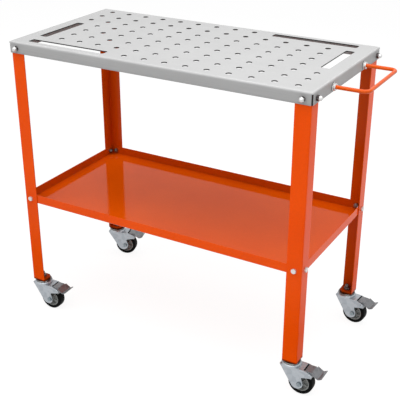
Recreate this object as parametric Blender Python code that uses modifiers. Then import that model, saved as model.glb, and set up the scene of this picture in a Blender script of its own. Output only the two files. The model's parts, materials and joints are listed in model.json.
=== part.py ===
"""Mobile welding table, in metres, +Z up, floor at z = 0.

A perforated folded top on four angle legs, a lower tray, a push handle on the right end
and four swivel casters with foot brakes. X runs along the table towards the handle,
Y runs from the front to the back.
"""

import math

import bmesh
import bpy
from mathutils import Matrix, Vector

# Overall size and fits
TABLE_LENGTH = 0.9144
TABLE_DEPTH = 0.4572
TABLE_HEIGHT = 0.8636
SEAT_GAP = 0.0003
RUNNING_GAP = 0.0004
ROUND_FACETS = 16

# Perforated top
TOP_SHEET = 0.003
FLANGE_DEPTH = 0.033
TOP_BEND_RADIUS = 0.005
CORNER_SEAM = 0.0032
HOLE_DIAMETER = 0.016
HOLE_PITCH_X = 0.0623
HOLE_PITCH_Y = 0.0555
HOLE_MARGIN_X = 0.05225
HOLE_MARGIN_Y = 0.03435
HOLE_FACETS = 10
SLOT_WIDTH = 0.0254
LONG_SLOT = 0.254
SHORT_SLOT = 0.1778
LONG_SLOT_MARGIN = 0.050
SHORT_SLOT_MARGIN = 0.084
SLOT_CORNER_RADIUS = 0.005

# Angle legs
LEG_WIDTH_X = 0.043
LEG_WIDTH_Y = 0.041
LEG_SHEET = 0.0025
LEG_BEND_RADIUS = 0.004

# Foot plates
FOOT_THICKNESS = 0.006
FOOT_DROP = 0.0025
FOOT_CHAMFER = 0.010
FOOT_RELIEF = 0.003

# Lower tray
TRAY_HEIGHT = 0.3696
TRAY_SHEET = 0.002
TRAY_LIP = 0.027
TRAY_BEND_RADIUS = 0.003
TRAY_CORNER_RELIEF = 0.006

# Bolts
BOLT_DIAMETER = 0.008
BOLT_FLATS = 0.013
BOLT_HEAD = 0.0053
BOLT_NUT = 0.0065
BOLT_TIP = 0.002
CAP_NUT = 0.015
CAP_NUT_HEX = 0.008
CAP_NUT_DOME = 0.0125
FASTENER_FACETS = 8
DOME_FACETS = 12
FLANGE_BOLT_DROP = 0.019

# Push handle
HANDLE_ROD = 0.010
HANDLE_SPREAD = 0.210
HANDLE_REACH = 0.090
HANDLE_BEND_RADIUS = 0.0165
HANDLE_DROP = 0.020
HANDLE_THREAD = 0.014
HANDLE_NUT_FLATS = 0.017
HANDLE_NUT = 0.008
HANDLE_WASHER_DIAMETER = 0.021
HANDLE_WASHER = 0.002

# Casters
CASTER_HEIGHT = 0.0957
CASTER_CAP_DIAMETER = 0.050
CASTER_CAP = 0.004
STEM_DIAMETER = 0.010
STEM_RISE = 0.018
STEM_NUT_FLATS = 0.017
STEM_NUT = 0.008
KINGPIN_HEAD_DIAMETER = 0.016
KINGPIN_HEAD = 0.003
CROWN_DIAMETER = 0.055
CROWN_HEIGHT = 0.007
CROWN_CHAMFER = 0.003
FORK_SHEET = 0.0025
FORK_INNER_WIDTH = 0.034
FORK_BRIDGE_END = 0.043
FORK_BOSS_RADIUS = 0.0186
FORK_BOSS_LEAD = 0.008
FORK_BOSS_RISE = 0.002
LUG_ROOT_X = 0.0036
LUG_ROOT_Z = 0.024
LUG_RADIUS = 0.007
WHEEL_DIAMETER = 0.072
WHEEL_TRAIL = 0.0325
TYRE_WIDTH = 0.028
TYRE_FACETS = 20
CORE_DIAMETER = 0.052
CORE_RIM_WIDTH = 0.022
CORE_RIM = 0.004
CORE_WEB = 0.008
CORE_BOSS_DIAMETER = 0.018
CORE_FACETS = 16
AXLE_DIAMETER = 0.008
AXLE_FLATS = 0.012
AXLE_HEAD = 0.004
PEDAL_PIVOT_X = 0.0276
PEDAL_PIVOT_Z = 0.036
PEDAL_PIN_DIAMETER = 0.005
PEDAL_PIN_HEAD = 0.0015
PEDAL_SHEET = 0.0025
PEDAL_WIDTH = 0.044
PEDAL_RISE = 0.0123
PEDAL_BEND_X = 0.007
PEDAL_DIP_X = 0.026
PEDAL_DIP_Z = 0.001
PEDAL_TIP_X = 0.036
PEDAL_TIP_Z = 0.0065
PEDAL_FLARE_X = 0.0095
PEDAL_FRONT_GAP = 0.0015
PEDAL_TRAVEL_DEGREES = 13.0
SHOE_ANGLE_DEGREES = 46.0
SHOE_LENGTH = 0.005
SHOE_HEIGHT = 0.0055

# How far each caster is turned about its stem, in degrees
CASTER_TURNS = {
    "front_left": 2.0,
    "front_right": 0.0,
    "back_left": 16.0,
    "back_right": -5.0,
}

# Which corner of the table each name stands for
CORNERS = {
    "front_left": (-1, -1),
    "front_right": (1, -1),
    "back_left": (-1, 1),
    "back_right": (1, 1),
}

# Places that follow from the sizes
HALF_LENGTH = TABLE_LENGTH / 2
HALF_DEPTH = TABLE_DEPTH / 2
LEG_X = HALF_LENGTH - TOP_SHEET - SEAT_GAP
LEG_Y = HALF_DEPTH - TOP_SHEET - SEAT_GAP
LEG_INSIDE = LEG_SHEET + SEAT_GAP
TRAY_X = LEG_X - LEG_INSIDE
TRAY_Y = LEG_Y - LEG_INSIDE
LEG_TOP = TABLE_HEIGHT - TOP_BEND_RADIUS - SEAT_GAP
FOOT_BOTTOM = CASTER_HEIGHT + SEAT_GAP
FOOT_TOP = FOOT_BOTTOM + FOOT_THICKNESS
LEG_BOTTOM = FOOT_BOTTOM + FOOT_DROP
BOLT_X = LEG_X - LEG_WIDTH_X / 2
BOLT_Y = LEG_Y - LEG_WIDTH_Y / 2
FLANGE_BOLT_Z = TABLE_HEIGHT - FLANGE_BOLT_DROP
TRAY_BOLT_Z = TRAY_HEIGHT + TRAY_LIP / 2
STEM_X = LEG_X - (LEG_INSIDE + LEG_WIDTH_X) / 2
STEM_Y = LEG_Y - (LEG_INSIDE + LEG_WIDTH_Y) / 2
HANDLE_Z = TABLE_HEIGHT - HANDLE_DROP
WHEEL_RADIUS = WHEEL_DIAMETER / 2
TYRE_CORNER_RADIUS = WHEEL_RADIUS / math.cos(math.pi / TYRE_FACETS)
CAP_BOTTOM = CASTER_HEIGHT - CASTER_CAP
CROWN_TOP = CAP_BOTTOM - SEAT_GAP
FORK_TOP = CROWN_TOP - CROWN_HEIGHT
PEDAL_X = WHEEL_TRAIL + PEDAL_PIVOT_X
PEDAL_Z = WHEEL_RADIUS + PEDAL_PIVOT_Z


# Small helpers for shapes


def clear_scene():
    for old in list(bpy.data.objects):
        bpy.data.objects.remove(old, do_unlink=True)


def new_collection(name):
    collection = bpy.data.collections.new(name)
    bpy.context.scene.collection.children.link(collection)
    return collection


def new_material(name, colour, metallic, roughness):
    material = bpy.data.materials.new(name)
    material.use_nodes = True
    shader = material.node_tree.nodes["Principled BSDF"]
    shader.inputs["Base Color"].default_value = (*colour, 1.0)
    shader.inputs["Metallic"].default_value = metallic
    shader.inputs["Roughness"].default_value = roughness
    material.diffuse_color = (*colour, 1.0)
    return material


def blank(name, shape):
    """Turn a bmesh into a loose working object."""
    bmesh.ops.recalc_face_normals(shape, faces=shape.faces)
    mesh = bpy.data.meshes.new(name)
    shape.to_mesh(mesh)
    shape.free()
    obj = bpy.data.objects.new(name, mesh)
    bpy.context.scene.collection.objects.link(obj)
    return obj


def bake(obj):
    """Keep what the modifiers make and drop the modifiers."""
    bpy.context.view_layer.update()
    evaluated = obj.evaluated_get(bpy.context.evaluated_depsgraph_get())
    shape = bmesh.new()
    shape.from_mesh(bpy.data.meshes.new_from_object(evaluated))
    obj.modifiers.clear()
    bmesh.ops.remove_doubles(shape, verts=shape.verts, dist=1e-6)
    bmesh.ops.recalc_face_normals(shape, faces=shape.faces)
    shape.to_mesh(obj.data)
    shape.free()


def combine(target, tool, operation):
    """Join a tool to the target, or cut the target with it, and remove the tool."""
    modifier = target.modifiers.new(operation.lower(), "BOOLEAN")
    modifier.operation = operation
    modifier.solver = "EXACT"
    modifier.object = tool
    bake(target)
    bpy.data.objects.remove(tool, do_unlink=True)


def box(low, high):
    shape = bmesh.new()
    bmesh.ops.create_cube(shape, size=1.0)
    low = Vector(low)
    high = Vector(high)
    bmesh.ops.scale(shape, vec=high - low, verts=shape.verts)
    bmesh.ops.translate(shape, vec=(low + high) / 2, verts=shape.verts)
    return blank("box", shape)


def add_rod(shape, start, end, radius, facets):
    """Add a straight round or hexagonal bar between two points to a bmesh."""
    start = Vector(start)
    along = Vector(end) - start
    turn = Vector((0, 0, 1)).rotation_difference(along).to_matrix().to_4x4()
    place = Matrix.Translation(start + along / 2) @ turn
    bmesh.ops.create_cone(
        shape,
        cap_ends=True,
        segments=facets,
        radius1=radius,
        radius2=radius,
        depth=along.length,
        matrix=place,
    )


def rod(start, end, radius, facets):
    shape = bmesh.new()
    add_rod(shape, start, end, radius, facets)
    return blank("rod", shape)


def round_hole(diameter, facets):
    """Corner radius of a faceted hole whose flats clear a round bar of this diameter."""
    return (diameter / 2 + RUNNING_GAP) / math.cos(math.pi / facets)


def hexagon(flats):
    return flats / math.sqrt(3)


def arc(centre, radius, start, end, steps):
    points = []
    for step in range(steps + 1):
        angle = start + (end - start) * step / steps
        points.append((centre[0] + radius * math.cos(angle), centre[1] + radius * math.sin(angle)))
    return points


def tangent_angle(point, centre, radius, side):
    """Angle on a circle where the line from an outside point touches it."""
    away = math.atan2(point[1] - centre[1], point[0] - centre[0])
    distance = math.hypot(point[0] - centre[0], point[1] - centre[1])
    return away + side * math.acos(radius / distance)


def plate(outline, thickness):
    """A flat plate in XY, half its thickness either side of z = 0."""
    curve = bpy.data.curves.new("plate", "CURVE")
    curve.dimensions = "2D"
    curve.fill_mode = "BOTH"
    curve.extrude = thickness / 2
    spline = curve.splines.new("POLY")
    spline.points.add(len(outline) - 1)
    spline.use_cyclic_u = True
    for point, (x, y) in zip(spline.points, outline):
        point.co = (x, y, 0, 1)
    return curve_to_mesh(curve)


def curve_to_mesh(curve):
    source = bpy.data.objects.new(curve.name, curve)
    bpy.context.scene.collection.objects.link(source)
    bpy.context.view_layer.update()
    evaluated = source.evaluated_get(bpy.context.evaluated_depsgraph_get())
    shape = bmesh.new()
    shape.from_mesh(bpy.data.meshes.new_from_object(evaluated))
    bpy.data.objects.remove(source, do_unlink=True)
    bmesh.ops.remove_doubles(shape, verts=shape.verts, dist=1e-5)
    return blank("plate", shape)


def side_plate(outline, y_low, y_high):
    """A plate standing in XZ between two values of y."""
    obj = plate(outline, y_high - y_low)
    upright = Matrix.Translation((0, (y_low + y_high) / 2, 0)) @ Matrix.Rotation(math.pi / 2, 4, "X")
    obj.data.transform(upright)
    return obj


def turned(profile, facets, closed):
    """A round piece about Z from a profile of (radius, height) points."""
    shape = bmesh.new()
    points = [shape.verts.new((radius, 0, height)) for radius, height in profile]
    for first, second in zip(points, points[1:]):
        shape.edges.new((first, second))
    if closed:
        shape.edges.new((points[-1], points[0]))
    obj = blank("turned", shape)
    screw = obj.modifiers.new("turn", "SCREW")
    screw.axis = "Z"
    screw.angle = math.tau
    screw.steps = facets
    screw.render_steps = facets
    screw.use_merge_vertices = True
    screw.merge_threshold = 1e-5
    bake(obj)
    return obj


def shade_round(obj, sharp_degrees):
    """Smooth the round sides and keep the real edges sharp."""
    limit = math.radians(sharp_degrees)
    shape = bmesh.new()
    shape.from_mesh(obj.data)
    for face in shape.faces:
        face.smooth = True
    for edge in shape.edges:
        edge.smooth = len(edge.link_faces) == 2 and edge.calc_face_angle() < limit
    shape.to_mesh(obj.data)
    shape.free()


def folded_pan(half_x, half_y, depth, sheet, bend_radius):
    """A sheet pan open at the bottom, its face at z = 0 and its flanges turned down."""
    shape = bmesh.new()
    bmesh.ops.create_cube(shape, size=1.0)
    bmesh.ops.scale(shape, vec=(2 * half_x, 2 * half_y, depth), verts=shape.verts)
    bmesh.ops.translate(shape, vec=(0, 0, -depth / 2), verts=shape.verts)
    open_side = [face for face in shape.faces if face.normal.z < -0.5]
    bmesh.ops.delete(shape, geom=open_side, context="FACES_ONLY")
    folds = [edge for edge in shape.edges if all(vert.co.z > -depth / 2 for vert in edge.verts)]
    bmesh.ops.bevel(shape, geom=folds, offset=bend_radius, segments=3, profile=0.5, affect="EDGES")
    obj = blank("pan", shape)
    solid = obj.modifiers.new("sheet", "SOLIDIFY")
    solid.thickness = sheet
    solid.offset = -1.0
    solid.use_even_offset = True
    bake(obj)
    return obj


# Placing finished pieces


def stand(name, parent, location, turn):
    """An empty on a joint or a reference point, for other pieces to hang from."""
    empty = bpy.data.objects.new(name, None)
    empty.empty_display_size = 0.02
    PARTS.objects.link(empty)
    empty.parent = parent
    empty.location = location
    empty.rotation_euler = (0, 0, turn)
    return empty


def place(name, mesh, material, parent, location, direction=(0, 0, 1)):
    """Put a piece under its parent, its own +Z pointing in the given direction."""
    obj = bpy.data.objects.new(name, mesh)
    PARTS.objects.link(obj)
    obj.parent = parent
    turn = Vector((0, 0, 1)).rotation_difference(Vector(direction))
    obj.matrix_local = Matrix.Translation(location) @ turn.to_matrix().to_4x4()
    if not mesh.materials:
        mesh.materials.append(material)
    return obj


def take_mesh(obj, name):
    """Keep the mesh of a working object and remove the object."""
    mesh = obj.data
    mesh.name = name
    bpy.data.objects.remove(obj, do_unlink=True)
    return mesh


def middle_of_pieces():
    """Middle of the box round all pieces, in X and Y."""
    bpy.context.view_layer.update()
    corners = []
    for obj in PARTS.objects:
        if obj.type == "MESH":
            corners += [obj.matrix_world @ vert.co for vert in obj.data.vertices]
    across = [corner.x for corner in corners]
    deep = [corner.y for corner in corners]
    return (min(across) + max(across)) / 2, (min(deep) + max(deep)) / 2


# The perforated top


def grid_places(size, margin, pitch):
    count = max(2, round((size - 2 * margin) / pitch) + 1)
    step = (size - 2 * margin) / (count - 1)
    return [-size / 2 + margin + index * step for index in range(count)]


def slot_boxes():
    """Centre and half size of the four long slots, two and two alike after half a turn."""
    long_x = -HALF_LENGTH + LONG_SLOT_MARGIN + LONG_SLOT / 2
    long_y = -HALF_DEPTH + HOLE_MARGIN_Y
    short_x = -HALF_LENGTH + HOLE_MARGIN_X
    short_y = -HALF_DEPTH + SHORT_SLOT_MARGIN + SHORT_SLOT / 2
    slots = []
    for sign in (1, -1):
        slots.append((sign * long_x, sign * long_y, LONG_SLOT / 2, SLOT_WIDTH / 2))
        slots.append((sign * short_x, sign * short_y, SLOT_WIDTH / 2, SHORT_SLOT / 2))
    return slots


def slot_outline(centre_x, centre_y, half_x, half_y):
    points = []
    for quarter, (sx, sy) in enumerate([(1, 1), (-1, 1), (-1, -1), (1, -1)]):
        corner = (
            centre_x + sx * (half_x - SLOT_CORNER_RADIUS),
            centre_y + sy * (half_y - SLOT_CORNER_RADIUS),
        )
        start = quarter * math.pi / 2
        points += arc(corner, SLOT_CORNER_RADIUS, start, start + math.pi / 2, 3)
    return points


def hole_places(slots):
    """Grid points that are not swallowed by a slot."""
    places = []
    for x in grid_places(TABLE_LENGTH, HOLE_MARGIN_X, HOLE_PITCH_X):
        for y in grid_places(TABLE_DEPTH, HOLE_MARGIN_Y, HOLE_PITCH_Y):
            clear = True
            for slot_x, slot_y, half_x, half_y in slots:
                near_x = abs(x - slot_x) < half_x + HOLE_DIAMETER
                near_y = abs(y - slot_y) < half_y + HOLE_DIAMETER
                if near_x and near_y:
                    clear = False
            if clear:
                places.append((x, y))
    return places


def top_mesh():
    top = folded_pan(HALF_LENGTH, HALF_DEPTH, FLANGE_DEPTH, TOP_SHEET, TOP_BEND_RADIUS)
    slots = slot_boxes()
    holes = bmesh.new()
    for x, y in hole_places(slots):
        add_rod(holes, (x, y, -2 * TOP_SHEET), (x, y, TOP_SHEET), HOLE_DIAMETER / 2, HOLE_FACETS)
    bolt_hole = round_hole(BOLT_DIAMETER, FASTENER_FACETS)
    handle_hole = round_hole(HANDLE_ROD, HOLE_FACETS)
    reach = 2 * TOP_SHEET
    for sx, sy in CORNERS.values():
        x = sx * BOLT_X
        y = sy * BOLT_Y
        z = -FLANGE_BOLT_DROP
        side = sy * HALF_DEPTH
        end = sx * HALF_LENGTH
        add_rod(holes, (x, side - reach, z), (x, side + reach, z), bolt_hole, FASTENER_FACETS)
        add_rod(holes, (end - reach, y, z), (end + reach, y, z), bolt_hole, FASTENER_FACETS)
    for sy in (-1, 1):
        y = sy * HANDLE_SPREAD / 2
        z = -HANDLE_DROP
        add_rod(holes, (HALF_LENGTH - reach, y, z), (HALF_LENGTH + reach, y, z), handle_hole, HOLE_FACETS)
    combine(top, blank("holes", holes), "DIFFERENCE")
    for slot in slots:
        combine(top, plate(slot_outline(*slot), 4 * TOP_SHEET), "DIFFERENCE")
    for sx, sy in CORNERS.values():
        inner = (sx * (HALF_LENGTH - CORNER_SEAM), sy * (HALF_DEPTH - CORNER_SEAM))
        outer = (sx * (HALF_LENGTH + CORNER_SEAM), sy * (HALF_DEPTH + CORNER_SEAM))
        low = (min(inner[0], outer[0]), min(inner[1], outer[1]), -2 * FLANGE_DEPTH)
        high = (max(inner[0], outer[0]), max(inner[1], outer[1]), -TOP_BEND_RADIUS - SEAT_GAP)
        combine(top, box(low, high), "DIFFERENCE")
    return take_mesh(top, "table_top")


# Legs, foot plates and tray


def leg_mesh(sx, sy):
    """An angle with its outer corner on the z axis, standing half its length either side of z = 0."""
    inner_radius = LEG_BEND_RADIUS - LEG_SHEET
    bend = (LEG_BEND_RADIUS, LEG_BEND_RADIUS)
    outline = [(0, LEG_WIDTH_Y)]
    outline += arc(bend, LEG_BEND_RADIUS, math.pi, 1.5 * math.pi, 4)
    outline += [(LEG_WIDTH_X, 0), (LEG_WIDTH_X, LEG_SHEET)]
    outline += arc(bend, inner_radius, 1.5 * math.pi, math.pi, 2)
    outline += [(LEG_SHEET, LEG_WIDTH_Y)]
    turned_outline = [(-sx * across, -sy * deep) for across, deep in outline]
    leg = plate(turned_outline, LEG_TOP - LEG_BOTTOM)
    middle = (LEG_TOP + LEG_BOTTOM) / 2
    radius = round_hole(BOLT_DIAMETER, FASTENER_FACETS)
    reach = 2 * LEG_SHEET
    holes = bmesh.new()
    for height in (FLANGE_BOLT_Z - middle, TRAY_BOLT_Z - middle):
        x = -sx * LEG_WIDTH_X / 2
        y = -sy * LEG_WIDTH_Y / 2
        add_rod(holes, (x, -reach, height), (x, reach, height), radius, FASTENER_FACETS)
        add_rod(holes, (-reach, y, height), (reach, y, height), radius, FASTENER_FACETS)
    combine(leg, blank("holes", holes), "DIFFERENCE")
    return take_mesh(leg, "leg")


def foot_mesh(sx, sy):
    """A plate in the corner of a leg, measured from the leg's outer corner."""
    outline = [
        (LEG_INSIDE + FOOT_RELIEF, LEG_INSIDE),
        (LEG_WIDTH_X, LEG_INSIDE),
        (LEG_WIDTH_X, LEG_WIDTH_Y - FOOT_CHAMFER),
        (LEG_WIDTH_X - FOOT_CHAMFER, LEG_WIDTH_Y),
        (LEG_INSIDE, LEG_WIDTH_Y),
        (LEG_INSIDE, LEG_INSIDE + FOOT_RELIEF),
    ]
    foot = plate([(-sx * across, -sy * deep) for across, deep in outline], FOOT_THICKNESS)
    x = sx * (STEM_X - LEG_X)
    y = sy * (STEM_Y - LEG_Y)
    radius = round_hole(STEM_DIAMETER, HOLE_FACETS)
    combine(foot, rod((x, y, -FOOT_THICKNESS), (x, y, FOOT_THICKNESS), radius, HOLE_FACETS), "DIFFERENCE")
    return take_mesh(foot, "foot_plate")


def tray_mesh():
    """A pan with its lips up against the inside of the legs, open at its corners."""
    tray = folded_pan(TRAY_X, TRAY_Y, TRAY_LIP, TRAY_SHEET, TRAY_BEND_RADIUS)
    tray.data.transform(Matrix.Rotation(math.pi, 4, "X"))
    holes = bmesh.new()
    radius = round_hole(BOLT_DIAMETER, FASTENER_FACETS)
    reach = 2 * TRAY_SHEET
    for sx, sy in CORNERS.values():
        ends = sorted([sx * (TRAY_X - TRAY_CORNER_RELIEF), sx * (TRAY_X + TRAY_SHEET)])
        sides = sorted([sy * (TRAY_Y - TRAY_CORNER_RELIEF), sy * (TRAY_Y + TRAY_SHEET)])
        low = (ends[0], sides[0], -TRAY_LIP)
        high = (ends[1], sides[1], 2 * TRAY_LIP)
        combine(tray, box(low, high), "DIFFERENCE")
        x = sx * BOLT_X
        y = sy * BOLT_Y
        z = TRAY_LIP / 2
        add_rod(holes, (x, sy * (TRAY_Y - reach), z), (x, sy * (TRAY_Y + reach), z), radius, FASTENER_FACETS)
        add_rod(holes, (sx * (TRAY_X - reach), y, z), (sx * (TRAY_X + reach), y, z), radius, FASTENER_FACETS)
    combine(tray, blank("holes", holes), "DIFFERENCE")
    return take_mesh(tray, "lower_tray")


# Fasteners and the handle


def bolt_mesh(name, diameter, flats, head, nut, grip):
    """A hexagon bolt with its nut, its head above z = 0 and the clamped sheets below."""
    under_nut = -grip - 2 * SEAT_GAP
    tip = under_nut - nut - BOLT_TIP
    bolt = rod((0, 0, tip), (0, 0, SEAT_GAP + head / 2), diameter / 2, FASTENER_FACETS)
    combine(bolt, rod((0, 0, SEAT_GAP), (0, 0, SEAT_GAP + head), hexagon(flats), 6), "UNION")
    combine(bolt, rod((0, 0, under_nut - nut), (0, 0, under_nut), hexagon(flats), 6), "UNION")
    shade_round(bolt, 40)
    return take_mesh(bolt, name)


def cap_bolt_mesh(name, diameter, flats, head, grip):
    """A hexagon bolt pushed out from inside, with a domed cap nut above z = 0."""
    under_head = -grip - 2 * SEAT_GAP
    hex_top = SEAT_GAP + CAP_NUT_HEX
    dome = CAP_NUT_DOME / 2
    round_start = SEAT_GAP + CAP_NUT - dome
    profile = [(0, SEAT_GAP + CAP_NUT_HEX / 2), (dome, SEAT_GAP + CAP_NUT_HEX / 2)]
    profile += arc((0, round_start), dome, 0, math.pi / 2, 3)
    bolt = rod((0, 0, under_head - head / 2), (0, 0, hex_top / 2), diameter / 2, FASTENER_FACETS)
    combine(bolt, rod((0, 0, SEAT_GAP), (0, 0, hex_top), hexagon(flats), 6), "UNION")
    combine(bolt, turned(profile, DOME_FACETS, False), "UNION")
    combine(bolt, rod((0, 0, under_head - head), (0, 0, under_head), hexagon(flats), 6), "UNION")
    shade_round(bolt, 40)
    return take_mesh(bolt, name)


def nut_mesh(name, flats, height, washer_diameter, washer, bore):
    """A hexagon nut standing on z = 0, on a washer face where it has one."""
    nut = rod((0, 0, washer / 2), (0, 0, height), hexagon(flats), 6)
    if washer > 0:
        combine(nut, rod((0, 0, 0), (0, 0, washer), washer_diameter / 2, ROUND_FACETS), "UNION")
    radius = round_hole(bore, HOLE_FACETS)
    combine(nut, rod((0, 0, -height), (0, 0, 2 * height), radius, HOLE_FACETS), "DIFFERENCE")
    shade_round(nut, 40)
    return take_mesh(nut, name)


def handle_mesh():
    """A bent rod in a level plane, its threaded ends at x = 0 and its grip at the far end."""
    inside = TOP_SHEET + HANDLE_THREAD
    half = HANDLE_SPREAD / 2
    bend_x = HANDLE_REACH - HANDLE_BEND_RADIUS
    bend_y = half - HANDLE_BEND_RADIUS
    path = [(-inside, -half)]
    path += arc((bend_x, -bend_y), HANDLE_BEND_RADIUS, -math.pi / 2, 0, 5)
    path += arc((bend_x, bend_y), HANDLE_BEND_RADIUS, 0, math.pi / 2, 5)
    path += [(-inside, half)]
    curve = bpy.data.curves.new("handle", "CURVE")
    curve.dimensions = "3D"
    curve.bevel_depth = HANDLE_ROD / 2
    curve.bevel_resolution = 4
    curve.use_fill_caps = True
    spline = curve.splines.new("POLY")
    spline.points.add(len(path) - 1)
    for point, (x, y) in zip(spline.points, path):
        point.co = (x, y, 0, 1)
    handle = curve_to_mesh(curve)
    shade_round(handle, 50)
    return take_mesh(handle, "push_handle")


# Caster pieces, measured from the floor point under the stem, trailing towards +X


def stem_mesh():
    radius = STEM_DIAMETER / 2
    head_top = FORK_TOP - FORK_SHEET - SEAT_GAP
    profile = [
        (0, FOOT_TOP + STEM_RISE),
        (radius, FOOT_TOP + STEM_RISE),
        (radius, CASTER_HEIGHT),
        (CASTER_CAP_DIAMETER / 2, CASTER_HEIGHT),
        (CASTER_CAP_DIAMETER / 2, CAP_BOTTOM),
        (radius, CAP_BOTTOM),
        (radius, head_top),
        (KINGPIN_HEAD_DIAMETER / 2, head_top),
        (KINGPIN_HEAD_DIAMETER / 2, head_top - KINGPIN_HEAD),
        (0, head_top - KINGPIN_HEAD),
    ]
    stem = turned(profile, ROUND_FACETS, False)
    shade_round(stem, 40)
    return take_mesh(stem, "caster_stem")


def fork_outline():
    """Side of the fork: a raked front edge, a rounded tongue at the axle and a lug for the pedal."""
    front = (-CROWN_DIAMETER / 2, FORK_TOP)
    boss = (WHEEL_TRAIL - FORK_BOSS_LEAD, WHEEL_RADIUS + FORK_BOSS_RISE)
    root = (WHEEL_TRAIL + LUG_ROOT_X, WHEEL_RADIUS + LUG_ROOT_Z)
    pivot = (PEDAL_X, PEDAL_Z)
    bridge = (FORK_BRIDGE_END, FORK_TOP)
    boss_start = tangent_angle(front, boss, FORK_BOSS_RADIUS, 1)
    boss_end = math.tau + math.radians(8)
    lug_start = tangent_angle(root, pivot, LUG_RADIUS, 1)
    lug_end = tangent_angle(bridge, pivot, LUG_RADIUS, -1)
    outline = [front]
    outline += arc(boss, FORK_BOSS_RADIUS, boss_start % math.tau, boss_end, 7)
    outline += [root]
    outline += arc(pivot, LUG_RADIUS, lug_start % math.tau, lug_end % math.tau + math.tau, 5)
    outline += [bridge]
    return outline


def fork_mesh():
    half_out = FORK_INNER_WIDTH / 2 + FORK_SHEET
    half_in = FORK_INNER_WIDTH / 2
    far = PEDAL_X + 2 * LUG_RADIUS
    fork = side_plate(fork_outline(), -half_out, half_out)
    channel_low = (-CROWN_DIAMETER, -half_in, -FORK_TOP)
    combine(fork, box(channel_low, (far, half_in, FORK_TOP - FORK_SHEET)), "DIFFERENCE")
    combine(fork, box((FORK_BRIDGE_END, -half_in, -FORK_TOP), (far, half_in, 2 * FORK_TOP)), "DIFFERENCE")
    crown_bottom = FORK_TOP - FORK_SHEET / 2
    crown = turned(
        [
            (0, CROWN_TOP),
            (CROWN_DIAMETER / 2 - CROWN_CHAMFER, CROWN_TOP),
            (CROWN_DIAMETER / 2, CROWN_TOP - CROWN_CHAMFER),
            (CROWN_DIAMETER / 2, crown_bottom),
            (0, crown_bottom),
        ],
        ROUND_FACETS,
        False,
    )
    combine(fork, crown, "UNION")
    kingpin_hole = round_hole(STEM_DIAMETER, HOLE_FACETS)
    below = (0, 0, FORK_TOP - 2 * CROWN_HEIGHT)
    above = (0, 0, 2 * CROWN_TOP)
    combine(fork, rod(below, above, kingpin_hole, HOLE_FACETS), "DIFFERENCE")
    axle_hole = round_hole(AXLE_DIAMETER, FASTENER_FACETS)
    axle_from = (WHEEL_TRAIL, -2 * half_out, WHEEL_RADIUS)
    axle_to = (WHEEL_TRAIL, 2 * half_out, WHEEL_RADIUS)
    combine(fork, rod(axle_from, axle_to, axle_hole, FASTENER_FACETS), "DIFFERENCE")
    pin_end = half_out + PEDAL_PIN_HEAD
    pin_radius = PEDAL_PIN_DIAMETER / 2
    pin = rod((PEDAL_X, -pin_end, PEDAL_Z), (PEDAL_X, pin_end, PEDAL_Z), pin_radius, FASTENER_FACETS)
    combine(fork, pin, "UNION")
    shade_round(fork, 30)
    return take_mesh(fork, "caster_fork")


def wheel_part(profile, facets):
    """A turned wheel piece lying along Y about its own centre, resting on a flat and not on a corner."""
    obj = turned(profile, facets, True)
    obj.data.transform(Matrix.Rotation(math.pi / 2, 4, "X") @ Matrix.Rotation(math.pi / facets, 4, "Z"))
    shade_round(obj, 40)
    return obj


def tyre_mesh():
    inner = (CORE_DIAMETER / 2 + SEAT_GAP) / math.cos(math.pi / TYRE_FACETS)
    half = TYRE_WIDTH / 2
    middle = (inner + TYRE_CORNER_RADIUS) / 2
    shoulder = TYRE_CORNER_RADIUS - 0.15 * TYRE_WIDTH / 2
    profile = [
        (inner, 0.85 * half),
        (middle, half),
        (shoulder, 0.86 * half),
        (TYRE_CORNER_RADIUS, 0.55 * half),
        (TYRE_CORNER_RADIUS, -0.55 * half),
        (shoulder, -0.86 * half),
        (middle, -half),
        (inner, -0.85 * half),
    ]
    return take_mesh(wheel_part(profile, TYRE_FACETS), "caster_tyre")


def core_mesh():
    bore = round_hole(AXLE_DIAMETER, CORE_FACETS)
    boss = CORE_BOSS_DIAMETER / 2
    outer = CORE_DIAMETER / 2
    rim = outer - CORE_RIM
    boss_half = FORK_INNER_WIDTH / 2 - SEAT_GAP
    web_half = CORE_WEB / 2
    rim_half = CORE_RIM_WIDTH / 2
    upper = [
        (bore, boss_half),
        (boss, boss_half),
        (boss + CORE_RIM, web_half),
        (rim, rim_half),
        (outer, rim_half),
    ]
    lower = [(radius, -height) for radius, height in reversed(upper)]
    return take_mesh(wheel_part(upper + lower, CORE_FACETS), "caster_wheel_core")


def strip_outline(points, thickness):
    """Side outline of a bent strip: the given upper line and the same line a thickness below it."""
    lower = []
    for index, (x, z) in enumerate(points):
        normals = []
        for first, second in ((index - 1, index), (index, index + 1)):
            if first >= 0 and second < len(points):
                run = points[second][0] - points[first][0]
                rise = points[second][1] - points[first][1]
                length = math.hypot(run, rise)
                normals.append(Vector((rise / length, -run / length)))
        middle = sum(normals, Vector((0, 0))).normalized()
        offset = middle * (thickness / middle.dot(normals[0]))
        lower.append((x + offset.x, z + offset.y))
    return points + lower[::-1]


def shoe_corner():
    """Leading corner of the brake shoe from the pivot: just clear of the tyre when the pedal is down."""
    angle = math.radians(SHOE_ANGLE_DEGREES)
    reach = TYRE_CORNER_RADIUS + SEAT_GAP
    down_x = WHEEL_TRAIL + reach * math.cos(angle) - PEDAL_X
    down_z = WHEEL_RADIUS + reach * math.sin(angle) - PEDAL_Z
    lift = math.radians(PEDAL_TRAVEL_DEGREES)
    x = down_x * math.cos(lift) - down_z * math.sin(lift)
    z = down_x * math.sin(lift) + down_z * math.cos(lift)
    return x, z


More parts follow.
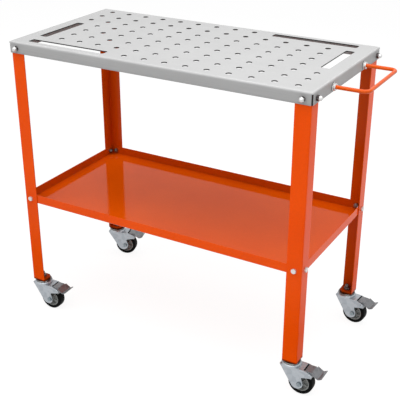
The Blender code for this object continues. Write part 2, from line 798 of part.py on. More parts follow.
def pedal_mesh():
    """Brake pedal about its own pivot: a bent tread plate, two ears on the pin and a shoe between them."""
    front_x = FORK_BRIDGE_END + PEDAL_FRONT_GAP - PEDAL_X
    upper = [
        (front_x, PEDAL_RISE),
        (PEDAL_BEND_X, PEDAL_RISE),
        (PEDAL_DIP_X, PEDAL_DIP_Z),
        (PEDAL_TIP_X, PEDAL_TIP_Z),
    ]
    half = PEDAL_WIDTH / 2
    half_in = FORK_INNER_WIDTH / 2 - RUNNING_GAP
    pedal = side_plate(strip_outline(upper, PEDAL_SHEET), -half, half)
    for side in (-1, 1):
        faces = sorted([side * half_in, side * 2 * half])
        low = (2 * front_x, faces[0], -PEDAL_RISE)
        high = (PEDAL_FLARE_X, faces[1], 2 * PEDAL_RISE)
        combine(pedal, box(low, high), "DIFFERENCE")
    shoe_x, shoe_z = shoe_corner()
    plate_z = PEDAL_RISE - PEDAL_SHEET / 2
    ear = [
        (front_x / 2, plate_z),
        (-PEDAL_PIN_DIAMETER, 0),
        (shoe_x, shoe_z),
        (shoe_x + SHOE_LENGTH, shoe_z),
        (PEDAL_PIN_DIAMETER * 1.2, 0),
        (PEDAL_BEND_X, plate_z),
    ]
    for side in (-1, 1):
        faces = sorted([side * half_in, side * (half_in - PEDAL_SHEET)])
        combine(pedal, side_plate(ear, faces[0], faces[1]), "UNION")
    inner = half_in - PEDAL_SHEET / 2
    low = (shoe_x + SHOE_LENGTH / 10, -inner, shoe_z)
    high = (shoe_x + SHOE_LENGTH, inner, shoe_z + SHOE_HEIGHT)
    combine(pedal, box(low, high), "UNION")
    pin_hole = round_hole(PEDAL_PIN_DIAMETER, HOLE_FACETS)
    combine(pedal, rod((0, -2 * half, 0), (0, 2 * half, 0), pin_hole, HOLE_FACETS), "DIFFERENCE")
    return take_mesh(pedal, "caster_brake_pedal")


# The assembly

clear_scene()
PARTS = new_collection("mobile_welding_table")

STEEL_TOP = new_material("bare_steel_top", (0.62, 0.62, 0.62), 0.9, 0.45)
ORANGE = new_material("orange_paint", (0.80, 0.09, 0.01), 0.0, 0.35)
ORANGE_FOOT = new_material("orange_paint_foot", (0.68, 0.07, 0.01), 0.0, 0.40)
ORANGE_TRAY = new_material("orange_paint_tray", (0.78, 0.10, 0.02), 0.0, 0.30)
ORANGE_ROD = new_material("orange_paint_rod", (0.80, 0.12, 0.02), 0.0, 0.35)
ZINC = new_material("bright_zinc", (0.75, 0.76, 0.78), 1.0, 0.25)
ZINC_STEM = new_material("zinc_stem", (0.68, 0.68, 0.66), 1.0, 0.35)
ZINC_FORK = new_material("zinc_fork", (0.42, 0.46, 0.50), 1.0, 0.32)
ZINC_PEDAL = new_material("zinc_pedal", (0.36, 0.39, 0.42), 1.0, 0.38)
RUBBER = new_material("black_rubber", (0.012, 0.012, 0.012), 0.0, 0.65)
GREY_CORE = new_material("grey_core", (0.17, 0.17, 0.17), 0.0, 0.5)

TABLE = stand("table_centre", None, (0, 0, 0), 0)
place("table_top", top_mesh(), STEEL_TOP, TABLE, (0, 0, TABLE_HEIGHT))
place("lower_tray", tray_mesh(), ORANGE_TRAY, TABLE, (0, 0, TRAY_HEIGHT))

flange_grip = TOP_SHEET + SEAT_GAP + LEG_SHEET
tray_grip = LEG_SHEET + SEAT_GAP + TRAY_SHEET
flange_bolt = cap_bolt_mesh("flange_bolt", BOLT_DIAMETER, BOLT_FLATS, BOLT_HEAD, flange_grip)
tray_bolt = bolt_mesh("tray_bolt", BOLT_DIAMETER, BOLT_FLATS, BOLT_HEAD, BOLT_NUT, tray_grip)

for corner, (sx, sy) in CORNERS.items():
    leg_middle = (LEG_TOP + LEG_BOTTOM) / 2
    foot_middle = (FOOT_BOTTOM + FOOT_TOP) / 2
    place("leg_" + corner, leg_mesh(sx, sy), ORANGE, TABLE, (sx * LEG_X, sy * LEG_Y, leg_middle))
    at_foot = (sx * LEG_X, sy * LEG_Y, foot_middle)
    place("foot_plate_" + corner, foot_mesh(sx, sy), ORANGE_FOOT, TABLE, at_foot)
    side_name, end_name = corner.split("_")
    facing_y = (0, sy, 0)
    facing_x = (sx, 0, 0)
    at_side = (sx * BOLT_X, sy * HALF_DEPTH, FLANGE_BOLT_Z)
    at_end = (sx * HALF_LENGTH, sy * BOLT_Y, FLANGE_BOLT_Z)
    place("flange_bolt_" + corner + "_" + side_name, flange_bolt, ZINC, TABLE, at_side, facing_y)
    place("flange_bolt_" + corner + "_" + end_name, flange_bolt, ZINC, TABLE, at_end, facing_x)
    at_side = (sx * BOLT_X, sy * LEG_Y, TRAY_BOLT_Z)
    at_end = (sx * LEG_X, sy * BOLT_Y, TRAY_BOLT_Z)
    place("tray_bolt_" + corner + "_" + side_name, tray_bolt, ZINC, TABLE, at_side, facing_y)
    place("tray_bolt_" + corner + "_" + end_name, tray_bolt, ZINC, TABLE, at_end, facing_x)

place("push_handle", handle_mesh(), ORANGE_ROD, TABLE, (HALF_LENGTH, 0, HANDLE_Z))
handle_nut = nut_mesh(
    "handle_nut", HANDLE_NUT_FLATS, HANDLE_NUT, HANDLE_WASHER_DIAMETER, HANDLE_WASHER, HANDLE_ROD
)
for arm, sy in (("front", -1), ("back", 1)):
    y = sy * HANDLE_SPREAD / 2
    outside = (HALF_LENGTH + SEAT_GAP, y, HANDLE_Z)
    inside = (HALF_LENGTH - TOP_SHEET - SEAT_GAP, y, HANDLE_Z)
    place("handle_nut_" + arm + "_outer", handle_nut, ZINC, TABLE, outside, (1, 0, 0))
    place("handle_nut_" + arm + "_inner", handle_nut, ZINC, TABLE, inside, (-1, 0, 0))

stem_nut = nut_mesh("stem_nut", STEM_NUT_FLATS, STEM_NUT, 0, 0, STEM_DIAMETER)
axle_grip = FORK_INNER_WIDTH + 2 * FORK_SHEET
axle_bolt = bolt_mesh("caster_axle", AXLE_DIAMETER, AXLE_FLATS, AXLE_HEAD, AXLE_HEAD, axle_grip)
stem = stem_mesh()
fork = fork_mesh()
tyre = tyre_mesh()
core = core_mesh()
pedal = pedal_mesh()
fork_side = FORK_INNER_WIDTH / 2 + FORK_SHEET

for corner, (sx, sy) in CORNERS.items():
    caster = "caster_" + corner
    under_stem = (sx * STEM_X, sy * STEM_Y, 0)
    place(caster + "_stem", stem, ZINC_STEM, TABLE, under_stem)
    place(caster + "_stem_nut", stem_nut, ZINC, TABLE, (sx * STEM_X, sy * STEM_Y, FOOT_TOP + SEAT_GAP))
    swivel = stand(caster + "_swivel", TABLE, under_stem, math.radians(CASTER_TURNS[corner]))
    place(caster + "_fork", fork, ZINC_FORK, swivel, (0, 0, 0))
    place(caster + "_axle", axle_bolt, ZINC, swivel, (WHEEL_TRAIL, -fork_side, WHEEL_RADIUS), (0, -1, 0))
    wheel = stand(caster + "_wheel", swivel, (WHEEL_TRAIL, 0, WHEEL_RADIUS), 0)
    place(caster + "_tyre", tyre, RUBBER, wheel, (0, 0, 0))
    place(caster + "_wheel_core", core, GREY_CORE, wheel, (0, 0, 0))
    pivot = stand(caster + "_brake", swivel, (PEDAL_X, 0, PEDAL_Z), 0)
    place(caster + "_brake_pedal", pedal, ZINC_PEDAL, pivot, (0, 0, 0))

# The origin is the floor point under the middle of everything, handle and turned casters included
middle_x, middle_y = middle_of_pieces()
TABLE.location = (-middle_x, -middle_y, 0)
bpy.context.view_layer.update()
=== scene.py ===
import json
import math

import bmesh
import bpy
from mathutils import Matrix, Vector


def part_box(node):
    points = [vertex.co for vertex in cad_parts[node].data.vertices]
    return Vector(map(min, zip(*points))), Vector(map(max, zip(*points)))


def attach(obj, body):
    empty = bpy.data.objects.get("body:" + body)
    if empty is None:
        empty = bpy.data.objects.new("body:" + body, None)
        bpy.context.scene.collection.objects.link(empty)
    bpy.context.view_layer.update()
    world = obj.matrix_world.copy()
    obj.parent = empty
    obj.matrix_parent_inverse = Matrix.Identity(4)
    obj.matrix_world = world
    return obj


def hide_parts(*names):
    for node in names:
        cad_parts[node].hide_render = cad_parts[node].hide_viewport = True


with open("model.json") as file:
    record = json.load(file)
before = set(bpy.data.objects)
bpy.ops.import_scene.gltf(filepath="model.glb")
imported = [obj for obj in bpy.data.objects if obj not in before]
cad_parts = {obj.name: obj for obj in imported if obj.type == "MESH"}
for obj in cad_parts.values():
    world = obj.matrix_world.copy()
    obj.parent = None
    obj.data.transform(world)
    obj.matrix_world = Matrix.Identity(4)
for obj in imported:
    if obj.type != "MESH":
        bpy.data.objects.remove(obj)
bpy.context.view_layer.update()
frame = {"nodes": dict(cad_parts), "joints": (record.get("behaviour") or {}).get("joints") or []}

# Sizes of the solids, or just inside them, in metres: gaps and sheets
SEAT_GAP = 0.0003
TOP_SHEET = 0.003
LEG_SHEET = 0.0025
TRAY_SHEET = 0.002
# The top
FLANGE_DEPTH = 0.033
TOP_BEND = 0.005
CORNER_SEAM = 0.0032
HOLE_RADIUS = 0.008
HOLE_COLUMNS = 14
HOLE_ROWS = 8
HOLE_MARGIN_X = 0.05225
HOLE_MARGIN_Y = 0.03435
SLOT_WIDTH = 0.0254
LONG_SLOT = 0.254
SHORT_SLOT = 0.1778
LONG_SLOT_MARGIN = 0.050
SHORT_SLOT_MARGIN = 0.084
SLOT_CORNER = 0.005
# Fasteners and handle
BOLT_RADIUS = 0.004
BOLT_FLATS = 0.013
BOLT_HEAD = 0.0053
BOLT_TIP = 0.002
TRAY_NUT = 0.0065
CAP_NUT_HEX = 0.008
CAP_NUT_DOME = 0.00615
CAP_NUT_CROWN = 0.0149
ROD_NUT_FLATS = 0.017
ROD_NUT_HEIGHT = 0.008
ROD_NUT_BORE = 0.0052
ROD_WASHER = 0.002
ROD_WASHER_RADIUS = 0.0105
HANDLE_BEND = 0.0165
HANDLE_END_RADIUS = 0.0049
# Casters
WHEEL_RADIUS = 0.036
TRAIL = 0.0325
PIVOT_X = 0.0601
PIVOT_Z = 0.072
PIVOT_PIN = 0.0025
PIVOT_PIN_HALF = 0.0200
RIVET_LOW = 0.0190
RIVET_TOP = 0.0210
RIVET_RADIUS = 0.0040
RIVET_TOP_RADIUS = 0.0028
FORK_SHEET = 0.0025
FORK_TOP = 0.0844
FORK_FRONT = -0.0275
FORK_BRIDGE = 0.043
FORK_HALF_IN = 0.017
FORK_HALF_OUT = 0.0195
BOSS_RADIUS = 0.0186
BOSS_LEAD = 0.008
BOSS_RISE = 0.002
BOSS_END = math.radians(8)
LUG_RADIUS = 0.007
LUG_ROOT_X = 0.0036
LUG_ROOT_Z = 0.024
CROWN_TOP = 0.0914
CROWN_RADIUS = 0.0275
CAP_BOTTOM = 0.0917
CAP_TOP = 0.0957
CAP_RADIUS = 0.025
STEM_RADIUS = 0.005
STEM_RISE = 0.018
STEM_BORE = 0.0056
KINGPIN_RADIUS = 0.008
FOOT_TOP = 0.102
AXLE_FLATS = 0.012
AXLE_HEAD = 0.004
AXLE_NUT = 0.004
AXLE_BORE = 0.0046
TYRE_INNER = 0.0264
TYRE_HALF = 0.014
PEDAL_FRONT = 0.0466
PEDAL_SHEET = 0.0025
PEDAL_HALF = 0.022
PEDAL_NECK = 0.0166
PEDAL_RISE = 0.0123
PEDAL_BEND_X = 0.007
PEDAL_DIP_X = 0.026
PEDAL_DIP_Z = 0.001
PEDAL_TIP_X = 0.036
PEDAL_TIP_Z = 0.0065
PEDAL_FLARE_X = 0.0095
PEDAL_BORE = 0.0030
SHOE_HALF = 0.0155
SHOE_LENGTH = 0.005
SHOE_LOW = -0.0102

# Fine detail of the scene alone, in metres
SAME_POINT = 1e-6
NEAR_POINT = 1e-5
TOP_EDGE = 0.00045
PAINTED_EDGE = 0.0005
FORK_EDGE = 0.0006
PEDAL_EDGE = 0.0005
PEDAL_ROUND = 0.0026
CORE_EDGE = 0.0003
BOLT_EDGE = 0.0002
NUT_EDGE = 0.00025
WASHER_EDGE = 0.0006
WASHER_FACE = 0.0008
BOLT_PITCH = 0.0005
HANDLE_PITCH = 0.0012
STEM_PITCH = 0.0015
HANDLE_STEP = 0.012
# Height of the painted shade line along a leg's foot
FOOT_SHADE_EDGE = 0.006
# Height over which a leg's painted shade and duller gloss fade out upwards from its foot
SHADE_AND_DULL_HEIGHT = 0.35
RIBS = 6
RIB_TURN = 0.3
RIB_START = 0.0080
RIB_END = 0.0225
RIB_OUT = 0.0075
RIB_HALF = 0.0009
RIB_HALF_DEPTH = 0.0035
# Faces that meet at less than this angle, in degrees, are shaded as one
SOFT_ANGLE = 34
PAINTED_ANGLE = 40

top_low, top_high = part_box("table_top")
CENTRE = Vector(((top_low.x + top_high.x) / 2, (top_low.y + top_high.y) / 2, 0))
TABLE_HEIGHT = top_high.z
HALF_X = (top_high.x - top_low.x) / 2
HALF_Y = (top_high.y - top_low.y) / 2
CORNERS = {"front_left": (-1, -1), "front_right": (1, -1), "back_left": (-1, 1), "back_right": (1, 1)}
JOINTS = {joint["name"]: joint for joint in frame["joints"]}
LEG_FOOT = min(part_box("leg_" + corner)[0].z for corner in CORNERS)


# Materials

WHITE = (1.0, 1.0, 1.0)
# Painted shade on the orange coat by which way a face looks: darkest on faces that look into the table, a
# little darker on level ones, a redder tone on faces that look away
INWARD_SHADE = (0.69, 0.75, 0.85)
LEVEL_SHADE = (0.87, 0.93, 0.91)
OUTWARD_SHADE = (1.0, 0.87, 1.0)
FACING_SHADE = [(0.0, INWARD_SHADE), (0.45, LEVEL_SHADE), (0.55, LEVEL_SHADE), (1.0, OUTWARD_SHADE)]
FACING_SHADE_REACH = 0.1
# The part of a noise's range that most of its values fall in
NOISE_LOW = 0.3
NOISE_HIGH = 0.7


def grey(value):
    return (value, value, value)


class Nodes:
    """A short way to write a material's node tree."""

    def __init__(self, name):
        self.material = bpy.data.materials.new(name)
        self.material.use_nodes = True
        self.tree = self.material.node_tree
        self.shader = self.tree.nodes["Principled BSDF"]
        self.coordinates = self.add("ShaderNodeTexCoord")
        self.place = self.coordinates.outputs["Object"]

    def add(self, kind, **inputs):
        node = self.tree.nodes.new(kind)
        for key, value in inputs.items():
            node.inputs[key.replace("_", " ")].default_value = value
        return node

    def link(self, output, target):
        self.tree.links.new(output, target)

    def stretched(self, scale):
        node = self.add("ShaderNodeMapping", Scale=scale)
        self.link(self.place, node.inputs["Vector"])
        return node.outputs["Vector"]

    def noise(self, scale, detail=3.0, rough=0.5, vector=None):
        node = self.add("ShaderNodeTexNoise", Scale=scale, Detail=detail, Roughness=rough)
        self.link(vector or self.place, node.inputs["Vector"])
        return node.outputs["Fac"]

    def cells(self, scale):
        node = self.add("ShaderNodeTexVoronoi", Scale=scale)
        self.link(self.place, node.inputs["Vector"])
        return node.outputs["Color"]

    def map_range(self, source, low, high, to_low=0.0, to_high=1.0):
        node = self.add("ShaderNodeMapRange", From_Min=low, From_Max=high, To_Min=to_low, To_Max=to_high)
        self.link(source, node.inputs["Value"])
        return node.outputs["Result"]

    def rise(self, low, high):
        """0 at the low height in the piece's own space and below, 1 at the high one and above."""
        axes = self.add("ShaderNodeSeparateXYZ")
        self.link(self.place, axes.inputs[0])
        return self.map_range(axes.outputs["Z"], low, high)

    def outward(self):
        """0 on faces that look at the table's middle, 1 on faces that look away, a half on level ones."""
        level = self.add("ShaderNodeVectorMath")
        level.operation = "MULTIPLY"
        self.link(self.place, level.inputs[0])
        level.inputs[1].default_value = (1, 1, 0)
        facing = self.add("ShaderNodeVectorMath")
        facing.operation = "DOT_PRODUCT"
        self.link(level.outputs["Vector"], facing.inputs[0])
        self.link(self.coordinates.outputs["Normal"], facing.inputs[1])
        return self.map_range(facing.outputs["Value"], -FACING_SHADE_REACH, FACING_SHADE_REACH)

    def ramp(self, source, stops):
        node = self.tree.nodes.new("ShaderNodeValToRGB")
        node.color_ramp.elements[0].position = stops[0][0]
        node.color_ramp.elements[0].color = (*stops[0][1], 1)
        node.color_ramp.elements[1].position = stops[-1][0]
        node.color_ramp.elements[1].color = (*stops[-1][1], 1)
        for position, colour in stops[1:-1]:
            node.color_ramp.elements.new(position).color = (*colour, 1)
        self.link(source, node.inputs["Fac"])
        return node.outputs["Color"]

    def tones(self, source, dark, pale):
        return self.ramp(source, [(NOISE_LOW, dark), (NOISE_HIGH, pale)])

    def multiply(self, first, second):
        node = self.tree.nodes.new("ShaderNodeMix")
        node.data_type = "RGBA"
        node.blend_type = "MULTIPLY"
        node.inputs["Factor"].default_value = 1.0
        self.link(first, node.inputs["A"])
        self.link(second, node.inputs["B"])
        return node.outputs["Result"]

    def bump(self, source, strength, distance, before=None):
        node = self.add("ShaderNodeBump", Strength=strength, Distance=distance)
        self.link(source, node.inputs["Height"])
        if before:
            self.link(before, node.inputs["Normal"])
        return node.outputs["Normal"]

    def set(self, **values):
        for key, value in values.items():
            self.shader.inputs[key.replace("_", " ")].default_value = value

    def use(self, output, name):
        self.link(output, self.shader.inputs[name])

    def span(self, source, low, high, name):
        """Let an input of the shader follow a noise or mask between two values."""
        self.use(self.map_range(source, NOISE_LOW, NOISE_HIGH, low, high), name)


def orange_paint(name, deep, bright, ior, gloss=0.10, shade_by_facing=False, foot=None):
    """Semi-gloss powder coat: slow tone drift, fine orange peel and a light cloudiness in the gloss.

    A piece shaded by facing gets painted shade, a deeper tone, on faces that look into the table. A leg, whose
    foot height is given, gets a painted line of shade along the foot's edge, and above it painted shade and a
    duller gloss that fade out upwards.
    """
    n = Nodes(name)
    drift = n.tones(n.noise(scale=5.0, detail=2.0), deep, bright)
    grain = n.ramp(n.noise(scale=260.0, detail=2.0), [(0.25, grey(0.94)), (0.75, WHITE)])
    paint = n.multiply(drift, grain)
    # Painted shade: faces that look into the table are darkened, level ones a little
    if shade_by_facing:
        paint = n.multiply(paint, n.ramp(n.outward(), FACING_SHADE))
    if foot:
        # Painted shade: a dark line along the leg's foot, where the leg meets the foot plate
        foot_shade = [(0.0, (0.20, 0.22, 0.25)), (0.4, (0.34, 0.36, 0.4)), (1.0, WHITE)]
        paint = n.multiply(paint, n.ramp(n.rise(foot, foot + FOOT_SHADE_EDGE), foot_shade))
        # Painted shade: the leg darkens a little towards its foot, where its gloss is also duller
        shade_and_dull = n.rise(foot, foot + SHADE_AND_DULL_HEIGHT)
        paint = n.multiply(paint, n.ramp(shade_and_dull, [(0.0, (0.90, 0.89, 0.88)), (1.0, WHITE)]))
        n.span(shade_and_dull, 0.10, 0.5, "Specular IOR Level")
    n.use(paint, "Base Color")
    n.span(n.noise(scale=38.0, detail=4.0), gloss, gloss * 1.7, "Roughness")
    n.use(n.bump(n.noise(scale=950.0, detail=2.0), strength=0.03, distance=0.0003), "Normal")
    n.set(IOR=ior)
    return n.material


def sheet_steel(name, shade=1.0, rough=0.0):
    """Pale rolled steel: faint lines along the rolling direction, soft clouds and a fine tooth.

    The flanges are painted a little darker than the top as painted shade, most of all along their lower edge.
    """
    n = Nodes(name)
    lines = n.noise(scale=1.0, detail=5.0, rough=0.6, vector=n.stretched((9.0, 620.0, 620.0)))
    tone = n.ramp(lines, [(0.25, grey(0.405 * shade)), (0.75, grey(0.47 * shade))])
    cloud = n.tones(n.noise(scale=7.0), grey(0.955), WHITE)
    # Painted shade: darker flanges, darkest along their lower edge
    flange_shade_stops = [(0.0, grey(0.76)), (0.2, grey(0.89)), (0.85, grey(0.92)), (1.0, WHITE)]
    flange_shade = n.ramp(n.rise(-FLANGE_DEPTH, -TOP_BEND), flange_shade_stops)
    n.use(n.multiply(n.multiply(tone, cloud), flange_shade), "Base Color")
    n.span(lines, 0.48 + rough, 0.62 + rough, "Roughness")
    tooth = n.bump(n.noise(scale=1400.0, detail=2.0), strength=0.05, distance=0.0002)
    n.use(n.bump(lines, strength=0.06, distance=0.0003, before=tooth), "Normal")
    n.set(Metallic=0.12, Specular_IOR_Level=0.3)
    return n.material


def zinc(name, dark, pale, smoothest, roughest, cell, metal=1.0):
    """Zinc plate: small spangle, soft clouds and a slightly uneven gloss."""
    n = Nodes(name)
    spangle = n.ramp(n.cells(cell), [(0.2, dark), (0.8, pale)])
    cloud = n.tones(n.noise(scale=90.0), grey(0.95), WHITE)
    n.use(n.multiply(spangle, cloud), "Base Color")
    n.span(n.noise(scale=160.0, detail=4.0), smoothest, roughest, "Roughness")
    n.use(n.bump(n.noise(scale=700.0), strength=0.02, distance=0.0002), "Normal")
    n.set(Metallic=metal)
    return n.material


def rubber(name):
    """Black rubber with a dusty bloom and fine moulding tooth."""
    n = Nodes(name)
    bloom = [(0.35, (0.0015, 0.0015, 0.0016)), (0.8, grey(0.0045))]
    n.use(n.ramp(n.noise(scale=55.0, detail=5.0, rough=0.65), bloom), "Base Color")
    n.span(n.noise(scale=120.0), 0.45, 0.62, "Roughness")
    n.set(Specular_IOR_Level=0.05)
    n.use(n.bump(n.noise(scale=900.0), strength=0.12, distance=0.0003), "Normal")
    return n.material


def moulded(name, dark, pale):
    """Moulded plastic with flow clouds and a fine satin grain."""
    n = Nodes(name)
    n.use(n.tones(n.noise(scale=45.0, detail=4.0), dark, pale), "Base Color")
    n.span(n.noise(scale=200.0), 0.36, 0.5, "Roughness")
    n.use(n.bump(n.noise(scale=1200.0, detail=2.0), strength=0.08, distance=0.0003), "Normal")
    return n.material


ORANGE_LEG = orange_paint(
    "orange_leg", (0.90, 0.091, 0.0005), (0.96, 0.105, 0.0008), ior=1.16, gloss=0.10, shade_by_facing=True, foot=LEG_FOOT
)
ORANGE_TRAY = orange_paint(
    "orange_tray", (0.88, 0.092, 0.0005), (0.94, 0.107, 0.0010), ior=1.185, gloss=0.06, shade_by_facing=True
)
ORANGE_ROD = orange_paint("orange_rod", (0.68, 0.085, 0.0030), (0.75, 0.100, 0.0045), ior=1.25)
STEEL = sheet_steel("rolled_steel")
BRIGHT = zinc("bright_zinc", (0.62, 0.62, 0.62), (0.72, 0.72, 0.71), 0.16, 0.28, cell=420.0, metal=0.6)
PLATE = zinc("zinc_plate", (0.37, 0.40, 0.43), (0.44, 0.47, 0.50), 0.40, 0.50, cell=75.0)
# Painted shade: a dark zinc for the brake pedal, which sits in shade under the leg
PEDAL = zinc("zinc_pedal", (0.17, 0.175, 0.185), (0.22, 0.225, 0.235), 0.30, 0.42, cell=75.0, metal=0.7)
AXLE = zinc("zinc_axle", (0.22, 0.26, 0.28), (0.28, 0.32, 0.34), 0.28, 0.40, cell=150.0)
# Painted shade: near-black zinc for the shaded side faces of nuts
FLANK_SHADE = zinc("flank_shade", (0.07, 0.06, 0.06), (0.12, 0.10, 0.10), 0.25, 0.38, cell=420.0)
# Painted shade: a dark zinc for the stem, its bearing cap and the stem nut, which sit in shade under the leg
STEM = zinc("zinc_stem", (0.14, 0.13, 0.13), (0.20, 0.19, 0.18), 0.30, 0.44, cell=150.0)
# Painted shade: near-black steel on the walls of the holes and slots and in the corner seams, for the shadow
# inside them
CUT_EDGE_SHADE = sheet_steel("cut_edge_shade", shade=0.05, rough=0.1)
# Painted highlight: the outside of the bends is a brighter steel than the sheet
BEND = sheet_steel("bend_highlight_steel", shade=1.15, rough=0.12)
# Painted shade: a darker steel on the underside and on the flanges' inner faces
UNDERSIDE_SHADE = sheet_steel("underside_shade_steel", shade=0.80, rough=0.1)
RUBBER = rubber("black_rubber")
CORE = moulded("grey_core", (0.20, 0.21, 0.20), (0.27, 0.28, 0.27))


# Shape helpers


def loose(shape):
    """An object of its own from a bmesh, not yet a piece of the part."""
    bmesh.ops.recalc_face_normals(shape, faces=shape.faces)
    mesh = bpy.data.meshes.new("shape")
    shape.to_mesh(mesh)
    shape.free()
    obj = bpy.data.objects.new("shape", mesh)
    bpy.context.scene.collection.objects.link(obj)
    return obj


def bake(obj):
    """Turn an object's modifiers into mesh."""
    bpy.context.view_layer.update()
    evaluated = obj.evaluated_get(bpy.context.evaluated_depsgraph_get())
    shape = bmesh.new()
    shape.from_mesh(bpy.data.meshes.new_from_object(evaluated))
    obj.modifiers.clear()
    bmesh.ops.remove_doubles(shape, verts=shape.verts, dist=SAME_POINT)
    bmesh.ops.recalc_face_normals(shape, faces=shape.faces)
    shape.to_mesh(obj.data)
    shape.free()


def combine(target, tool, operation):
    modifier = target.modifiers.new("cut", "BOOLEAN")
    modifier.operation = operation
    modifier.object = tool
    bake(target)
    bpy.data.objects.remove(tool, do_unlink=True)


def box(low, high):
    shape = bmesh.new()
    bmesh.ops.create_cube(shape, size=1.0)
    low = Vector(low)
    high = Vector(high)
    bmesh.ops.scale(shape, vec=high - low, verts=shape.verts)
    bmesh.ops.translate(shape, vec=(low + high) / 2, verts=shape.verts)
    return loose(shape)


def add_rod(shape, start, end, radius, facets, end_radius=None):
    start = Vector(start)
    along = Vector(end) - start
    turn = Vector((0, 0, 1)).rotation_difference(along).to_matrix().to_4x4()
    bmesh.ops.create_cone(
        shape,
        cap_ends=True,
        segments=facets,
        radius1=radius,
        radius2=radius if end_radius is None else end_radius,
        depth=along.length,
        matrix=Matrix.Translation(start + along / 2) @ turn,
    )


def rod(start, end, radius, facets, end_radius=None):
    shape = bmesh.new()
    add_rod(shape, start, end, radius, facets, end_radius)
    return loose(shape)


def arc(centre, radius, start, end, steps):
    points = []
    for step in range(steps + 1):
        angle = start + (end - start) * step / steps
        points.append((centre[0] + radius * math.cos(angle), centre[1] + radius * math.sin(angle)))
    return points


def tangent_angle(point, centre, radius, side):
    """Where on a circle the line from a point touches it."""
    away = math.atan2(point[1] - centre[1], point[0] - centre[0])
    distance = math.hypot(point[0] - centre[0], point[1] - centre[1])
    return away + side * math.acos(radius / distance)


def curve_mesh(curve):
    source = bpy.data.objects.new("curve", curve)
    bpy.context.scene.collection.objects.link(source)
    bpy.context.view_layer.update()
    evaluated = source.evaluated_get(bpy.context.evaluated_depsgraph_get())
    shape = bmesh.new()
    shape.from_mesh(bpy.data.meshes.new_from_object(evaluated))
    bpy.data.objects.remove(source, do_unlink=True)
    bmesh.ops.remove_doubles(shape, verts=shape.verts, dist=NEAR_POINT)
    return loose(shape)


def plate(outline, thickness):
    """A level plate, half above z = 0 and half below."""
    curve = bpy.data.curves.new("plate", "CURVE")
    curve.dimensions = "2D"
    curve.fill_mode = "BOTH"
    curve.extrude = thickness / 2
    spline = curve.splines.new("POLY")
    spline.points.add(len(outline) - 1)
    spline.use_cyclic_u = True
    for point, (x, y) in zip(spline.points, outline):
        point.co = (x, y, 0, 1)
    return curve_mesh(curve)


def side_plate(outline, low, high):
    """An upright plate from an outline in x and z, between two values of y."""
    obj = plate(outline, high - low)
    obj.data.transform(Matrix.Translation((0, (low + high) / 2, 0)) @ Matrix.Rotation(math.pi / 2, 4, "X"))
    return obj


def turned(profile, facets, closed=False):
    """A profile of (radius, height) points turned about z."""
    shape = bmesh.new()
    points = [shape.verts.new((radius, 0, height)) for radius, height in profile]
    for first, second in zip(points, points[1:]):
        shape.edges.new((first, second))
    if closed:
        shape.edges.new((points[-1], points[0]))
    obj = loose(shape)
    screw = obj.modifiers.new("turn", "SCREW")
    screw.axis = "Z"
    screw.angle = math.tau
    screw.steps = facets
    screw.render_steps = facets
    screw.use_merge_vertices = True
    screw.merge_threshold = NEAR_POINT
    bake(obj)
    return obj


def smooth(obj, degrees):
    obj.data.shade_smooth()
    obj.data.set_sharp_from_angle(angle=math.radians(degrees))


def round_edges(obj, width, segments, angle):
    bevel = obj.modifiers.new("edge", "BEVEL")
    bevel.width = width
    bevel.segments = segments
    bevel.limit_method = "ANGLE"
    bevel.angle_limit = math.radians(angle)


def soften(obj, width, segments=2, angle=30):
    """Round the edges, then shade the faces smooth."""
    round_edges(obj, width, segments, angle)
    bake(obj)
    smooth(obj, SOFT_ANGLE)


def take(obj, material):
    """An object's mesh with one material, and the object itself gone."""
    mesh = obj.data
    mesh.materials.clear()
    mesh.materials.append(material)
    bpy.data.objects.remove(obj, do_unlink=True)
    return mesh


def even_normals(obj):
    normals = obj.modifiers.new("normals", "WEIGHTED_NORMAL")
    normals.keep_sharp = True
    normals.weight = 80


def put(name, mesh, matrix, body, slot, *nodes):
    """Stand a piece in its place, with its turn in its own mesh, and let it ride on a body."""
    mesh = mesh.copy()
    mesh.transform(matrix.to_3x3().to_4x4())
    obj = bpy.data.objects.new(name, mesh)
    bpy.context.scene.collection.objects.link(obj)
    obj.location = matrix.translation
    even_normals(obj)
    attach(obj, body)
    if nodes:
        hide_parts(*nodes)
    return obj


def facing(place, direction):
    turn = Vector((0, 0, 1)).rotation_difference(Vector(direction))
    return Matrix.Translation(place) @ turn.to_matrix().to_4x4()


def thread(radius, low, high, pitch):
    """Outline of a screw thread going down from high to low."""
    root = radius * 0.90
    points = []
    count = int((high - low) / pitch)
    for index in range(count):
        top = high - index * pitch
        points += [(root, top), (radius, top - pitch * 0.5)]
    points.append((root, high - count * pitch))
    return points


# The perforated top


def folded_sheet():
    """The top without its holes: a sheet with four flanges, from z = 0 down."""
    shape = bmesh.new()
    bmesh.ops.create_cube(shape, size=1.0)
    bmesh.ops.scale(shape, vec=(2 * HALF_X, 2 * HALF_Y, FLANGE_DEPTH), verts=shape.verts)
    bmesh.ops.translate(shape, vec=(0, 0, -FLANGE_DEPTH / 2), verts=shape.verts)
    bmesh.ops.delete(shape, geom=[f for f in shape.faces if f.normal.z < -0.5], context="FACES_ONLY")
    folds = [e for e in shape.edges if all(v.co.z > -FLANGE_DEPTH / 2 for v in e.verts)]
    bmesh.ops.bevel(shape, geom=folds, offset=TOP_BEND, segments=7, profile=0.5, affect="EDGES")
    top = loose(shape)
    solid = top.modifiers.new("sheet", "SOLIDIFY")
    solid.thickness = TOP_SHEET
    solid.offset = -1.0
    solid.use_even_offset = True
    bake(top)
    return top


